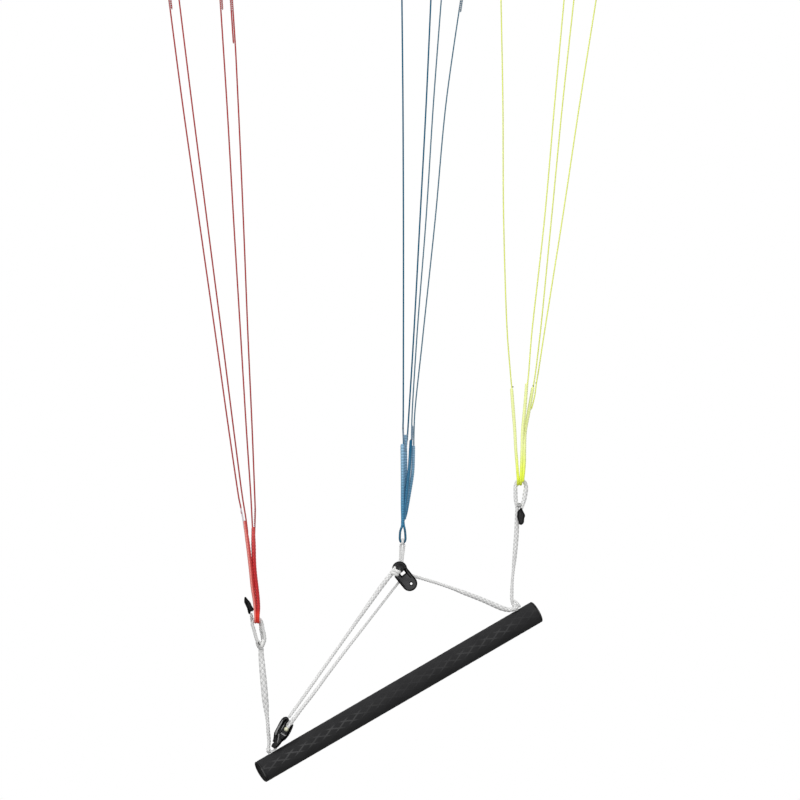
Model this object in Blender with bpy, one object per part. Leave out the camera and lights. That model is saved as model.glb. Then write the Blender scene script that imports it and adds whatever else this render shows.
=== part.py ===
# Parawing control bar: a gripped bar on a rope harness, hung from twelve lines
# Metres, +Z up. The bar is seen from -Y, its left end low and nearer.
# The origin is the level of the lines' upper loops, straight above the front loop.

import bpy
import bmesh
import math
from mathutils import Matrix, Vector

MM = 0.001
GAP = 0.3 * MM

# Bar
BAR_LENGTH = 400 * MM
BAR_RADIUS = 14 * MM
BAR_CENTRE = Vector((-5.5, 0, -893)) * MM
BAR_SLOPE = math.radians(30)
BAR_YAW = math.radians(13)
TUBE_RADIUS = 10.5 * MM
TUBE_WALL = 1.5 * MM
CAP_FLANGE = 4 * MM
CAP_PLUG = 14 * MM
CAP_ROUND = 1.6 * MM
EXIT_FROM_END = 22 * MM
HOLE_RADIUS = 2.4 * MM
KNOT_RADIUS = 4.2 * MM
KNOT_HEIGHT = KNOT_RADIUS + GAP
STEM_RADIUS = HOLE_RADIUS - GAP
GRIP_SIDES = 40
CAP_SIDES = 32

# Links between the lines and the harness; each turns about its own line along X
REAR_LEFT_LINK = Vector((-176.8, -42, -802.2)) * MM
REAR_RIGHT_LINK = Vector((143.3, 34, -632.7)) * MM
LINK_SHARE = -REAR_LEFT_LINK.x / (REAR_RIGHT_LINK.x - REAR_LEFT_LINK.x)
FRONT_LINK = REAR_LEFT_LINK.lerp(REAR_RIGHT_LINK, LINK_SHARE)

# Ropes
ROPE_RADIUS = 2.0 * MM
STROP_RADIUS = 1.5 * MM
FRONT_LOOP_RADIUS = 1.15 * MM
LINE_RADIUS = 0.65 * MM
SLEEVE_TURN_RADIUS = 1.4 * MM
SLEEVE_SHIFT = 1.6
LINK_PLAY = 0.84 * MM
STROP_PLAY = 0.4 * MM
SOFT_LOOP_HALF_WIDTH = 6.6 * MM
SIDE_BY_SIDE = 2.5 * MM
TURN_STEP = math.radians(26)

# Adjuster at the top of the V
HEAD_CENTRE = Vector((-3.0, 0, -743)) * MM
HEAD_RADIUS = 8.5 * MM
HEAD_DEPTH = 9 * MM
HEAD_CUT = 3.6 * MM
PLATE_TOP = Vector((-1.8, -1.5, -747.1)) * MM
PLATE_SLOPE = math.radians(51.3)
PLATE_LENGTH = 26 * MM
PLATE_HALF_WIDTH = 8 * MM
PLATE_DEPTH = 4.5 * MM
PLATE_HOLE_RADIUS = 1.8 * MM
NOTCH_HALF_WIDTH = 2.9 * MM
NOTCH_DEPTH = 4.4 * MM

# Cleat at the foot of the V's left leg
CLEAT_DEPTH = 9 * MM
CLEAT_BACK = 1.4 * MM
CHANNEL_HALF_WIDTH = 2.3 * MM

# Pull tabs
TAB_DEPTH = 3.4 * MM

# Upper loops of the lines
LOOP_NECK_Z = -27 * MM
LOOP_LENGTH = 25.5 * MM
LOOP_HALF_WIDTH = 4.2 * MM
TAIL_OFFSET = 2 * LINE_RADIUS + GAP

# Bar directions: along it, up from it in its own vertical plane, and across it
ALONG = Vector((
    math.cos(BAR_YAW) * math.cos(BAR_SLOPE),
    math.sin(BAR_YAW),
    math.cos(BAR_YAW) * math.sin(BAR_SLOPE),
))
UPWARD = (Vector((0, 0, 1)) - ALONG * ALONG.z).normalized()
ACROSS = UPWARD.cross(ALONG)


def clear_scene():
    for thing in list(bpy.data.objects):
        bpy.data.objects.remove(thing, do_unlink=True)


def finish(name, base_color, roughness, metallic=0.0):
    material = bpy.data.materials.new(name)
    material.use_nodes = True
    shader = material.node_tree.nodes["Principled BSDF"]
    shader.inputs["Base Color"].default_value = (*base_color, 1)
    shader.inputs["Roughness"].default_value = roughness
    shader.inputs["Metallic"].default_value = metallic
    return material


def add_object(name, data, material):
    thing = bpy.data.objects.new(name, data)
    bpy.context.scene.collection.objects.link(thing)
    data.materials.append(material)
    return thing


def add_bmesh(name, mesh, material, place=Matrix.Identity(4)):
    """Turns a bmesh into an object, smooth except at sharp edges."""
    bmesh.ops.recalc_face_normals(mesh, faces=mesh.faces)
    data = bpy.data.meshes.new(name)
    mesh.to_mesh(data)
    mesh.free()
    data.shade_smooth()
    data.set_sharp_from_angle(angle=math.radians(35))
    thing = add_object(name, data, material)
    thing.matrix_world = place
    return thing


def cut(thing, cutter):
    """Cuts one object with another, which stays as a hidden guide."""
    cutter.hide_render = True
    cutter.display_type = "WIRE"
    step = thing.modifiers.new("Cut", "BOOLEAN")
    step.operation = "DIFFERENCE"
    step.object = cutter


def smooth_route(knots):
    """Reads points off a smooth curve through the knots, closer where it bends."""
    spots = [Vector(knot[:3]) for knot in knots]
    widths = [knot[3] for knot in knots]
    spans = [(b - a).length for a, b in zip(spots, spots[1:])]
    aims = [(spots[1] - spots[0]) / spans[0]]
    for i in range(1, len(spots) - 1):
        before = (spots[i] - spots[i - 1]) / spans[i - 1]
        after = (spots[i + 1] - spots[i]) / spans[i]
        mix = spans[i - 1] / (spans[i - 1] + spans[i])
        aims.append(before.lerp(after, mix))
    aims.append((spots[-1] - spots[-2]) / spans[-1])
    route = []
    for i, span in enumerate(spans):
        steps = max(1, math.ceil(aims[i].angle(aims[i + 1]) / TURN_STEP))
        for k in range(steps):
            t = k / steps
            point = (
                spots[i] * (2 * t**3 - 3 * t**2 + 1)
                + aims[i] * span * (t**3 - 2 * t**2 + t)
                + spots[i + 1] * (3 * t**2 - 2 * t**3)
                + aims[i + 1] * span * (t**3 - t**2)
            )
            route.append((point, widths[i] + (widths[i + 1] - widths[i]) * t))
    route.append((spots[-1], widths[-1]))
    return route


def cord(name, knots, material):
    """A rope or line: a round tube whose knots give place and radius."""
    route = smooth_route(knots)
    curve = bpy.data.curves.new(name, "CURVE")
    curve.dimensions = "3D"
    curve.bevel_depth = 1 * MM
    curve.bevel_resolution = 2
    curve.use_fill_caps = True
    spline = curve.splines.new("POLY")
    spline.points.add(len(route) - 1)
    for point, (spot, radius) in zip(spline.points, route):
        point.co = (*spot, 1)
        point.radius = radius / curve.bevel_depth
    return add_object(name, curve, material)


def knot_at(base, x, y, z, radius):
    """One knot of a route, in millimetres from a base point."""
    spot = base + Vector((x, y, z)) * MM
    return (*spot, radius)


def turned(name, profile, material, place, sides):
    """Spins a closed profile of (radius, height) round the Z axis."""
    mesh = bmesh.new()
    ring = [mesh.verts.new((radius, 0, height)) for radius, height in profile]
    edges = [mesh.edges.new(pair) for pair in zip(ring, ring[1:])]
    if profile[0][0] > 0:
        edges.append(mesh.edges.new((ring[-1], ring[0])))
    bmesh.ops.spin(
        mesh, geom=ring + edges, cent=(0, 0, 0), axis=(0, 0, 1),
        angle=math.tau, steps=sides, use_merge=True,
    )
    bmesh.ops.remove_doubles(mesh, verts=mesh.verts, dist=0.001 * MM)
    return add_bmesh(name, mesh, material, place)


def plate(name, outline, depth, material, place, edge_round=0.0):
    """Extrudes an outline in the XZ plane towards +Y, its edges rounded."""
    mesh = bmesh.new()
    corners = [mesh.verts.new((x, 0, z)) for x, z in outline]
    face = mesh.faces.new(corners)
    raised = bmesh.ops.extrude_face_region(mesh, geom=[face])["geom"]
    moved = [part for part in raised if isinstance(part, bmesh.types.BMVert)]
    bmesh.ops.translate(mesh, verts=moved, vec=(0, depth, 0))
    if edge_round:
        rims = [e for e in mesh.edges if abs(e.verts[0].co.y - e.verts[1].co.y) < GAP / 10]
        bmesh.ops.bevel(
            mesh, geom=rims, offset=edge_round, segments=2, profile=0.5,
            affect="EDGES", clamp_overlap=True, material=-1,
        )
    return add_bmesh(name, mesh, material, place)


def arc(cx, cz, radius, start, stop, steps):
    """Points on an arc in a plane, its angles in degrees."""
    angles = [math.radians(start + (stop - start) * i / steps) for i in range(steps + 1)]
    return [(cx + radius * math.cos(a), cz + radius * math.sin(a)) for a in angles]


def bar_frame(centre, direction):
    """A placement whose Z runs along a direction and whose X is across the bar."""
    side = ACROSS
    other = direction.cross(side)
    turn = Matrix((side, other, direction)).transposed().to_4x4()
    return Matrix.Translation(centre) @ turn


def bar_exit(side):
    """Where the ropes enter the bar: -1 is its left end, 1 its right."""
    along = side * (BAR_LENGTH / 2 - EXIT_FROM_END)
    return BAR_CENTRE + ALONG * along + UPWARD * BAR_RADIUS


def knot_centre(side):
    return bar_exit(side) + UPWARD * KNOT_HEIGHT


def drill(name, side, material):
    """A straight cutter through the bar's wall at a rope's exit."""
    depth = 8 * MM
    start = bar_exit(side) - UPWARD * depth
    profile = [(0, 0), (HOLE_RADIUS, 0), (HOLE_RADIUS, 2 * depth), (0, 2 * depth)]
    return turned(name, profile, material, bar_frame(start, UPWARD), 12)


def make_bar(looks):
    start = BAR_CENTRE - ALONG * (BAR_LENGTH / 2)
    place = bar_frame(start, ALONG)
    first = CAP_FLANGE + GAP
    last = BAR_LENGTH - CAP_FLANGE - GAP
    inner = TUBE_RADIUS + GAP
    bore = TUBE_RADIUS - TUBE_WALL
    grip = turned(
        "bar_grip",
        [(inner, first), (BAR_RADIUS, first), (BAR_RADIUS, last), (inner, last)],
        looks["grip"], place, GRIP_SIDES,
    )
    tube = turned(
        "bar_tube",
        [(bore, first), (TUBE_RADIUS, first), (TUBE_RADIUS, last), (bore, last)],
        looks["tube"], place, GRIP_SIDES,
    )
    for side, word in ((-1, "left"), (1, "right")):
        cutter = drill("exit_cutter_" + word, side, looks["tube"])
        cut(grip, cutter)
        cut(tube, cutter)
        make_cap(word, side, looks["cap"])
        make_exit_knot(word, side, looks["rope"])


def make_cap(word, side, material):
    """A flanged plug with a rounded rim and a shallow ring in its flat end."""
    face = BAR_CENTRE + ALONG * (side * BAR_LENGTH / 2)
    rim = [
        (BAR_RADIUS - CAP_ROUND + x, CAP_ROUND - z)
        for x, z in arc(0, 0, CAP_ROUND, 90, 0, 3)
    ]
    plug = TUBE_RADIUS - TUBE_WALL - GAP
    ring_out = 9.0 * MM
    ring_in = 8.0 * MM
    ring_deep = 0.5 * MM
    profile = [(0, 0), (ring_in, 0), (ring_in, ring_deep), (ring_out, ring_deep), (ring_out, 0)]
    profile += rim
    profile += [(BAR_RADIUS, CAP_FLANGE), (plug, CAP_FLANGE), (plug, CAP_PLUG), (0, CAP_PLUG)]
    turned("end_cap_" + word, profile, material, bar_frame(face, ALONG * -side), CAP_SIDES)


def make_exit_knot(word, side, material):
    """The ropes' knot on the bar, its stem down through grip and tube."""
    centre = knot_centre(side)
    waist = -math.degrees(math.acos(STEM_RADIUS / KNOT_RADIUS))
    stem_end = -KNOT_HEIGHT - 5.6 * MM
    profile = [(0, stem_end), (STEM_RADIUS, stem_end)]
    profile += arc(0, 0, KNOT_RADIUS, waist, 90, 9)
    profile[-1] = (0, KNOT_RADIUS)
    turned("exit_knot_" + word, profile, material, bar_frame(centre, UPWARD), 14)


def make_soft_loop_leader(name, side, run, legs, link, material):
    """A white leader: up from the bar's knot, round a soft loop, back to the neck."""
    start = knot_centre(side) + Vector((0, SIDE_BY_SIDE, 0))
    route = [knot_at(start, 0, 0, KNOT_RADIUS / MM + 0.4, ROPE_RADIUS)]
    route += [knot_at(link, *knot) for knot in run]
    width = SOFT_LOOP_HALF_WIDTH / MM
    first, last = legs
    route += [knot_at(link, *knot) for knot in first]
    for x, z in arc(0, -width, width, 180, 0, 4):
        route.append(knot_at(link, x, 0, z, ROPE_RADIUS))
    route += [knot_at(link, *knot) for knot in last]
    cord(name, route, material)


def make_leaders(looks):
    """The two leaders; knots are millimetres from each link, with a radius."""
    thick = 3.1 * MM
    middle = 2.6 * MM
    thin = ROPE_RADIUS
    left_run = [
        (12.0, 2.0, -144, thin), (11.0, 1.8, -115, middle), (8.4, 1.4, -90, thick),
        (5.0, 0.8, -60, thick), (2.4, 0.2, -40, middle), (1.2, 0, -33, thin),
    ]
    left_legs = (
        [(-2.6, 0, -26, thin), (-5.2, 0, -16, thin)],
        [(7.8, 0, -14, thin), (8.4, 0, -22, thin), (6.4, 0, -29, thin), (5.8, 0, -31.5, thin)],
    )
    make_soft_loop_leader("leader_left", -1, left_run, left_legs, REAR_LEFT_LINK, looks["rope"])
    right_run = [
        (-9.2, 2.6, -124, thin), (-7.2, 2.2, -97, thin), (-5.2, 1.2, -66, middle),
        (-4.4, 0.4, -44, middle), (-4.4, 0, -34, thin),
    ]
    right_legs = (
        [(-6.2, 0, -22, thin), (-6.7, 0, -14, thin)],
        [(6.5, 0, -15, thin), (4.8, -0.4, -25, thin), (2.4, -2.2, -34, thin), (2.2, -4.4, -40.9, 1.6 * MM)],
    )
    make_soft_loop_leader("leader_right", 1, right_run, right_legs, REAR_RIGHT_LINK, looks["rope"])


def make_tabs(looks):
    """Black pull tabs on the soft loops: tapered flats, one turned nearly edge-on."""
    outline = [(-1.0, 0), (1.0, 0), (3.9, 4), (4.4, 11), (2.4, 20), (0.8, 23), (-1.2, 22), (-3.6, 12), (-3.8, 4)]
    shape = [(x * MM, z * MM) for x, z in outline]
    sites = (
        ("pull_tab_left", REAR_LEFT_LINK + Vector((-8.3, 0, 4.9)) * MM, 26, 52),
        ("pull_tab_right", REAR_RIGHT_LINK + Vector((2.2, -4.4, -41.4)) * MM, 179, 0),
    )
    for name, root, lean, twist in sites:
        turn = Matrix.Rotation(math.radians(-lean), 4, "Y") @ Matrix.Rotation(math.radians(twist), 4, "Z")
        centred = Matrix.Translation((0, -TAB_DEPTH / 2, 0))
        plate(name, shape, TAB_DEPTH, looks["tab"], Matrix.Translation(root) @ turn @ centred, 0.8 * MM)
    stub = [(-6.4, 0, 0.5, 1.5 * MM), (-7.4, 0, 2.6, 1.4 * MM), (-8.1, 0, 4.5, 1.0 * MM)]
    cord("tab_cord_left", [knot_at(REAR_LEFT_LINK, *knot) for knot in stub], looks["rope"])


def make_strop(looks):
    """A doubled rope over the front loop, quarter-turned as it runs to the head."""
    reach = FRONT_LOOP_RADIUS + STROP_PLAY + STROP_RADIUS
    head = HEAD_CENTRE + Vector((0, 0, HEAD_RADIUS + GAP))
    foot = STROP_RADIUS + 0.25 * MM
    legs = []
    for side in (-1, 1):
        leg = []
        for share in (0.25, 0.5, 0.75, 1.0):
            turn = math.radians(90 * (1 - share))
            apart = reach + (foot - reach) * share
            middle = FRONT_LINK.lerp(head, share)
            spot = middle + Vector((side * apart * math.cos(turn), side * apart * math.sin(turn), 0))
            leg.append((*spot, STROP_RADIUS))
        legs.append(leg)
    over = [
        (*(FRONT_LINK + Vector((0, y, z))), STROP_RADIUS)
        for y, z in arc(0, 0, reach, 180, 0, 4)
    ]
    cord("front_strop", legs[0][::-1] + over + legs[1], looks["rope"])


def make_adjuster(looks):
    """A domed head on the strop and a notched plate that hangs from it."""
    half = math.degrees(math.acos(HEAD_CUT / HEAD_RADIUS))
    slope = math.degrees(PLATE_SLOPE)
    dome = arc(0, 0, HEAD_RADIUS, half - slope, 360 - half - slope, 18)
    place = Matrix.Translation(HEAD_CENTRE - Vector((0, HEAD_DEPTH / 2, 0)))
    plate("adjuster_head", dome, HEAD_DEPTH, looks["fitting"], place, 2.2 * MM)
    end = PLATE_LENGTH - PLATE_HALF_WIDTH
    outline = [(0, -NOTCH_HALF_WIDTH), (0, -PLATE_HALF_WIDTH)]
    outline += arc(end, 0, PLATE_HALF_WIDTH, -90, 90, 12)
    outline += [(0, PLATE_HALF_WIDTH), (0, NOTCH_HALF_WIDTH)]
    outline += [(NOTCH_DEPTH, NOTCH_HALF_WIDTH), (NOTCH_DEPTH, -NOTCH_HALF_WIDTH)]
    turn = Matrix.Rotation(PLATE_SLOPE, 4, "Y")
    place = Matrix.Translation(PLATE_TOP) @ turn @ Matrix.Translation((0, -PLATE_DEPTH / 2, 0))
    body = plate("adjuster_plate", outline, PLATE_DEPTH, looks["fitting"], place, 0.7 * MM)
    hole = [(x, z) for x, z in arc(end, 0, PLATE_HOLE_RADIUS, 0, 330, 11)]
    reach = Matrix.Translation((0, -PLATE_DEPTH, 0))
    cut(body, plate("hole_cutter", hole, 3 * PLATE_DEPTH, looks["fitting"], place @ reach))


def make_v_ropes(looks):
    """The V: one rope to the right, a thick and a thin one down to the cleat."""
    foot = knot_centre(1) + Vector((0, -SIDE_BY_SIDE, 0))
    slim = 1.9 * MM
    full = 2.3 * MM
    right = [
        (4.5, 3.0, -749.0, slim), (14, 3.6, -750.4, slim), (30, 6.4, -755.6, slim), (48, 10, -761.5, slim),
        (70, 15, -769.8, full), (98, 23.5, -777.5, full), (118, 30, -783.0, full),
    ]
    route = [(*(Vector(knot[:3]) * MM), knot[3]) for knot in right]
    route.append(knot_at(foot, -3.9, 0.2, 1.1, slim))
    cord("v_rope_right", route, looks["rope"])

    left_upper = [
        (-4.6, -7.4, -749.2, 2.6), (-9.6, -7.4, -752.6, 3.0), (-23, -9.5, -768.5, 2.9), (-39.6, -14, -788.5, 2.4),
        (-66, -21, -823.5, 1.9), (-104, -34, -876.5, 1.7), (-140.0, -43.8, -925.1, 1.6),
    ]
    cord("v_rope_left_upper", [(x * MM, y * MM, z * MM, r * MM) for x, y, z, r in left_upper], looks["rope"])
    left_lower = [
        (-2.2, 2.7, -756.0, 1.5), (-9.5, 1.0, -766.0, 1.5), (-24, -5.5, -785, 1.6),
        (-52, -16.5, -821.5, 1.6), (-92, -31, -873.5, 1.6), (-131.5, -46.0, -925.0, 1.7),
        (-138.0, -46.4, -933.5, 1.7),
    ]
    cord("v_rope_left_lower", [(x * MM, y * MM, z * MM, r * MM) for x, y, z, r in left_lower], looks["rope"])


def make_cleat(looks):
    """A tapered cleat with an open channel that grips the thin rope's end."""
    base = knot_centre(-1)
    front = base + Vector((0, CLEAT_BACK - CLEAT_DEPTH, 0))
    outline = [
        (6.2, 1.2), (9.4, 1.6), (15.9, 8.2), (22.4, 14.8), (27.6, 22.8), (30.6, 31.8),
        (22.0, 40.0), (18.4, 38.6), (13.4, 32.6), (7.2, 22.4), (4.6, 11.6), (3.0, 6.2),
    ]
    shape = [(x * MM, z * MM) for x, z in outline]
    body = plate("cleat", shape, CLEAT_DEPTH, looks["fitting"], Matrix.Translation(front), 1.2 * MM)
    lean = math.radians(52.3)
    aim = Vector((math.cos(lean), math.sin(lean)))
    side = Vector((-aim.y, aim.x)) * CHANNEL_HALF_WIDTH
    low = Vector((17.7, 18.7)) * MM
    high = low + aim * 30 * MM
    corners = [low - side, high - side, high + side, low + side]
    channel = plate(
        "channel_cutter", [tuple(corner) for corner in corners], CLEAT_DEPTH - 2.2 * MM,
        looks["fitting"], Matrix.Translation(front - Vector((0, 1 * MM, 0))),
    )
    cut(body, channel)


def sleeve_with_turn(name, link, shift, run, material):
    """A sewn sleeve that turns round a soft loop's top strand, its tail behind it."""
    reach = (ROPE_RADIUS + LINK_PLAY + SLEEVE_TURN_RADIUS) / MM
    thin = SLEEVE_TURN_RADIUS
    route = [knot_at(link, *knot) for knot in run]
    route += [
        knot_at(link, shift, -1.9, 26, 1.1 * thin),
        knot_at(link, shift, -reach + 1.0, 9, thin),
    ]
    for y, z in arc(0, 0, reach, 180, 360, 4):
        route.append(knot_at(link, shift, y, z, thin))
    route += [
        knot_at(link, shift, reach - 1.0, 9, thin),
        knot_at(link, shift, 1.9, 26, thin),
        knot_at(link, shift, 1.9, 36, thin),
    ]
    cord(name, route, material)


def top_of(route):
    """The upper end of a sleeve and the way it points."""
    first, second = Vector(route[0][:3]), Vector(route[1][:3])
    return first * MM, (first - second).normalized()


def make_sleeves(looks):
    """Sewn sleeves above the three links; knots are millimetres from each link."""
    wide = 2.3 * MM
    slim = 2.0 * MM
    tops = {}
    red_1 = [(-17.0, -1.5, 118, slim), (-13.4, -1.8, 95, wide), (-8.4, -2.2, 62, wide), (-4.4, -2.3, 38, wide)]
    red_2 = [(-5.2, 2.5, 112, slim), (-4.6, 1.5, 88, wide), (-2.4, -0.6, 60, wide), (0.6, -2.2, 38, wide)]
    sleeve_with_turn("sleeve_left_1", REAR_LEFT_LINK, -SLEEVE_SHIFT, red_1, looks["red"])
    sleeve_with_turn("sleeve_left_2", REAR_LEFT_LINK, SLEEVE_SHIFT, red_2, looks["red"])
    yellow_1 = [(-11.4, -1.5, 110, slim), (-8.6, -1.8, 80, slim), (-6.2, -2.0, 52, slim), (-3.4, -2.2, 36, slim)]
    yellow_2 = [(6.2, -2.6, 115, slim), (4.2, -2.4, 80, slim), (1.8, -2.2, 50, slim), (1.7, -2.2, 38, slim)]
    yellow_3 = [(15.6, 3.0, 111.5, slim), (10.4, 2.8, 76, slim), (6.6, 2.6, 50, slim), (5.2, 2.4, 34, 1.5 * MM)]
    sleeve_with_turn("sleeve_right_1", REAR_RIGHT_LINK, -SLEEVE_SHIFT, yellow_1, looks["yellow"])
    sleeve_with_turn("sleeve_right_2", REAR_RIGHT_LINK, SLEEVE_SHIFT, yellow_2, looks["yellow"])
    cord("sleeve_right_3", [knot_at(REAR_RIGHT_LINK, *knot) for knot in yellow_3], looks["yellow"])
    for name, link, route in (
        ("left_1", REAR_LEFT_LINK, red_1), ("left_2", REAR_LEFT_LINK, red_2),
        ("right_1", REAR_RIGHT_LINK, yellow_1), ("right_2", REAR_RIGHT_LINK, yellow_2),
        ("right_3", REAR_RIGHT_LINK, yellow_3),
    ):
        spot, aim = top_of(route)
        tops[name] = (link + spot, aim)
    return tops


def make_front_sleeves(looks, tops):
    """Four front sleeves; the first runs on as the open loop that holds the strop."""
    slim = 2.0 * MM
    half = 3.9
    thin = FRONT_LOOP_RADIUS
    first = [
        (-2.4, -1.6, 118, slim), (-2.0, -2.0, 80, slim), (-1.6, -2.2, 40, slim), (-1.2, -2.0, 29, 1.7 * MM),
        (-0.8, -1.0, 23.5, thin), (-2.6, 0, 15.5, thin),
    ]
    route = [knot_at(FRONT_LINK, *knot) for knot in first]
    for x, z in arc(0, half, half, 180, 360, 4):
        route.append(knot_at(FRONT_LINK, x, 0, z, thin))
    route += [knot_at(FRONT_LINK, *knot) for knot in ((3.0, 0, 14, thin), (1.9, 0.4, 21, thin))]
    cord("sleeve_front_1", route, looks["blue"])
    others = {
        "front_2": [(2.4, 2.4, 129, slim), (2.6, 2.4, 80, slim), (1.0, 2.2, 42, slim), (0.2, 1.4, 27, 1.6 * MM)],
        "front_3": [(9.6, -2.0, 123, slim), (7.6, -2.2, 90, slim), (4.0, -2.2, 58, slim), (2.5, -2.2, 34, 1.7 * MM)],
        "front_4": [(12.4, 2.6, 116, slim), (11.2, 2.4, 82, slim), (6.8, 2.4, 54, slim), (3.7, 1.5, 28, 1.6 * MM)],
    }
    for name, knots in others.items():
        cord("sleeve_" + name, [knot_at(FRONT_LINK, *knot) for knot in knots], looks["blue"])
    for name, knots in (("front_1", first), *others.items()):
        spot, aim = top_of(knots)
        tops[name] = (FRONT_LINK + spot, aim)


def make_line(name, sleeve, shift, bends, tail, material):
    """A line from its sleeve to an upper loop whose tail is sewn back along it."""
    spot, aim = sleeve
    foot = spot + aim * (GAP + 0.1 * MM) + Vector((shift, 0, 0)) * MM
    route = [(*foot, LINE_RADIUS)]
    route += [(x * MM, y * MM, z * MM, LINE_RADIUS) for x, y, z in bends[:-1]]
    below = Vector(bends[-2]) * MM if len(bends) > 1 else foot
    upper = Vector(bends[-1]) * MM
    rise = (upper - below).normalized()
    neck = upper + rise * ((LOOP_NECK_Z - upper.z) / rise.z)
    side = Vector((rise.z, 0, -rise.x)).normalized()
    half = LOOP_HALF_WIDTH
    teardrop = (
        (0.0, 0.0), (0.26, -0.62), (0.56, -1.0), (0.84, -0.86), (1.0, 0.0),
        (0.84, 0.86), (0.56, 1.0), (0.26, 0.72),
    )
    for height, width in teardrop:
        spot = neck + rise * (height * LOOP_LENGTH) + side * (width * half)
        route.append((*spot, LINE_RADIUS))
    for drop in (0.0, 0.5, 1.0):
        spot = neck - rise * (drop * tail * MM) + side * TAIL_OFFSET
        route.append((*spot, LINE_RADIUS))
    cord(name, route, material)


def make_lines(looks, tops):
    """Twelve lines: their bends in millimetres, lowest first, and the tail's length."""
    pair = LINE_RADIUS / MM + 0.2
    lines = (
        ("line_left_1", "left_1", -pair, [(-248.9, -56, -317), (-285.5, -68, -49)], 36, "red"),
        ("line_left_2", "left_1", pair, [(-239.5, -32, -317), (-273.5, -22, -49)], 14, "red"),
        ("line_left_3", "left_2", -pair, [(-206.8, -50, -317), (-223.2, -58, -49)], 36, "red"),
        ("line_left_4", "left_2", pair, [(-195.1, -26, -317), (-205.2, -14, -107), (-209.0, -10, -49)], 76, "red"),
        ("line_front_1", "front_1", 0, [(0.4, -12, -415), (0.0, -18, -317), (-2.0, -30, -49)], 14, "blue"),
        ("line_front_2", "front_2", 0, [(20.1, 13, -317), (33.4, 24, -49)], 14, "blue"),
        ("line_front_3", "front_3", 0, [(27.4, -8, -317), (46.1, -14, -49)], 14, "blue"),
        ("line_front_4", "front_4", 0, [(23.2, 12, -463), (38.7, 20, -317), (60.0, 28, -107), (69.9, 32, -49)], 37, "blue"),
        ("line_right_1", "right_1", 0, [(127.2, 22, -463), (122.2, 16, -317), (118.9, 8, -49)], 14, "yellow"),
        ("line_right_2", "right_2", 0, [(160.8, 42, -415), (172.4, 48, -317), (196.2, 58, -49)], 14, "yellow"),
        ("line_right_3", "right_3", -pair, [(171.7, 26, -415), (180.5, 22, -317), (207.9, 12, -49)], 14, "yellow"),
        ("line_right_4", "right_3", pair, [(178.9, 52, -415), (194.0, 60, -317), (235.5, 76, -49)], 14, "yellow"),
    )
    for name, sleeve, shift, bends, tail, look in lines:
        make_line(name, tops[sleeve], shift, bends, tail, looks[look])


def main():
    clear_scene()
    looks = {
        "grip": finish("grip_foam", (0.022, 0.022, 0.023), 0.75),
        "tube": finish("bar_tube", (0.55, 0.56, 0.58), 0.35, 1.0),
        "cap": finish("end_cap", (0.018, 0.018, 0.019), 0.5),
        "rope": finish("white_rope", (0.66, 0.66, 0.63), 0.8),
        "fitting": finish("black_fitting", (0.02, 0.02, 0.021), 0.42),
        "tab": finish("pull_tab", (0.012, 0.012, 0.013), 0.55),
        "red": finish("red_line", (0.52, 0.03, 0.035), 0.7),
        "blue": finish("blue_line", (0.03, 0.14, 0.27), 0.7),
        "yellow": finish("yellow_line", (0.62, 0.78, 0.06), 0.7),
    }
    make_bar(looks)
    make_leaders(looks)
    make_tabs(looks)
    make_strop(looks)
    make_adjuster(looks)
    make_v_ropes(looks)
    make_cleat(looks)
    tops = make_sleeves(looks)
    make_front_sleeves(looks, tops)
    make_lines(looks, tops)


main()
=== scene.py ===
# %% [markdown]
# # A parawing's control bar, built in cells
# The real object is a foam-gripped bar that hangs on a rope harness. Twelve thin lines in three
# colours hold it. Almost everything here is braided cord, so one tool does most of the work: it
# rolls a flat grid round a route and lifts the grid into strands. The hard pieces, such as the
# cleat, the adjuster and the caps, are cut and turned like the moulded plastic they copy.

import bpy
import bmesh
import math
import numpy as np
from mathutils import Matrix, Vector


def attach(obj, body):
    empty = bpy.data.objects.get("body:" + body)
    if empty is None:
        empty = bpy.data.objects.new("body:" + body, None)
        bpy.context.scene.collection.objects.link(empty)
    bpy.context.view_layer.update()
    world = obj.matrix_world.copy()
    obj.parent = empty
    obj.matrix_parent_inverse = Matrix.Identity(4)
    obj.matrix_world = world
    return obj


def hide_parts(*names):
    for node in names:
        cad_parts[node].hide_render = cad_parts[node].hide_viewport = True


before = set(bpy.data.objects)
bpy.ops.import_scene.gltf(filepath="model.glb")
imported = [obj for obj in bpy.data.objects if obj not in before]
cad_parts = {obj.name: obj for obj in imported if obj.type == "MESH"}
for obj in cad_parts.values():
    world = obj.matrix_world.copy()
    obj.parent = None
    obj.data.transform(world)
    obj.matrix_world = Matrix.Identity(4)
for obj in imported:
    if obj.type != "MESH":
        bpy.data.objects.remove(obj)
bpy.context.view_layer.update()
print("nodes:", len(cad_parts))

# %% [markdown]
# ## Units and the photo's scale
# Shapes are written in millimetres, as a rigger would measure them, and turned to metres when the
# mesh is made. The photo shows 0.82 pixels to a millimetre, and a small function turns its pixels
# into places, so that the camera can be set to the same view.

# %% Units and places
MM = 0.001
PIXELS_PER_MM = 0.82
PHOTO_SIDE = 800
PHOTO_X_ZERO = 403
PHOTO_Z_ZERO = -40


def photo_place(x, y):
    """The (X, Z) place in millimetres of a pixel of the photo."""
    return (x - PHOTO_X_ZERO) / PIXELS_PER_MM, (PHOTO_Z_ZERO - y) / PIXELS_PER_MM


VIEW_SIDE = PHOTO_SIDE / PIXELS_PER_MM
VIEW_CENTRE = photo_place(PHOTO_SIDE / 2 - 0.5, PHOTO_SIDE / 2 + 0.5)
print("the photo shows", round(VIEW_SIDE), "mm across")

# %% [markdown]
# ## Camera
# The picture has next to no perspective: it was taken level, from far away. A long lens many
# metres off gives the same flat view. An orthographic camera would too, but a lens has the little
# perspective that is left.

# %% Camera
CAMERA_DISTANCE = 25.0
SENSOR = 36.0

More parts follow.
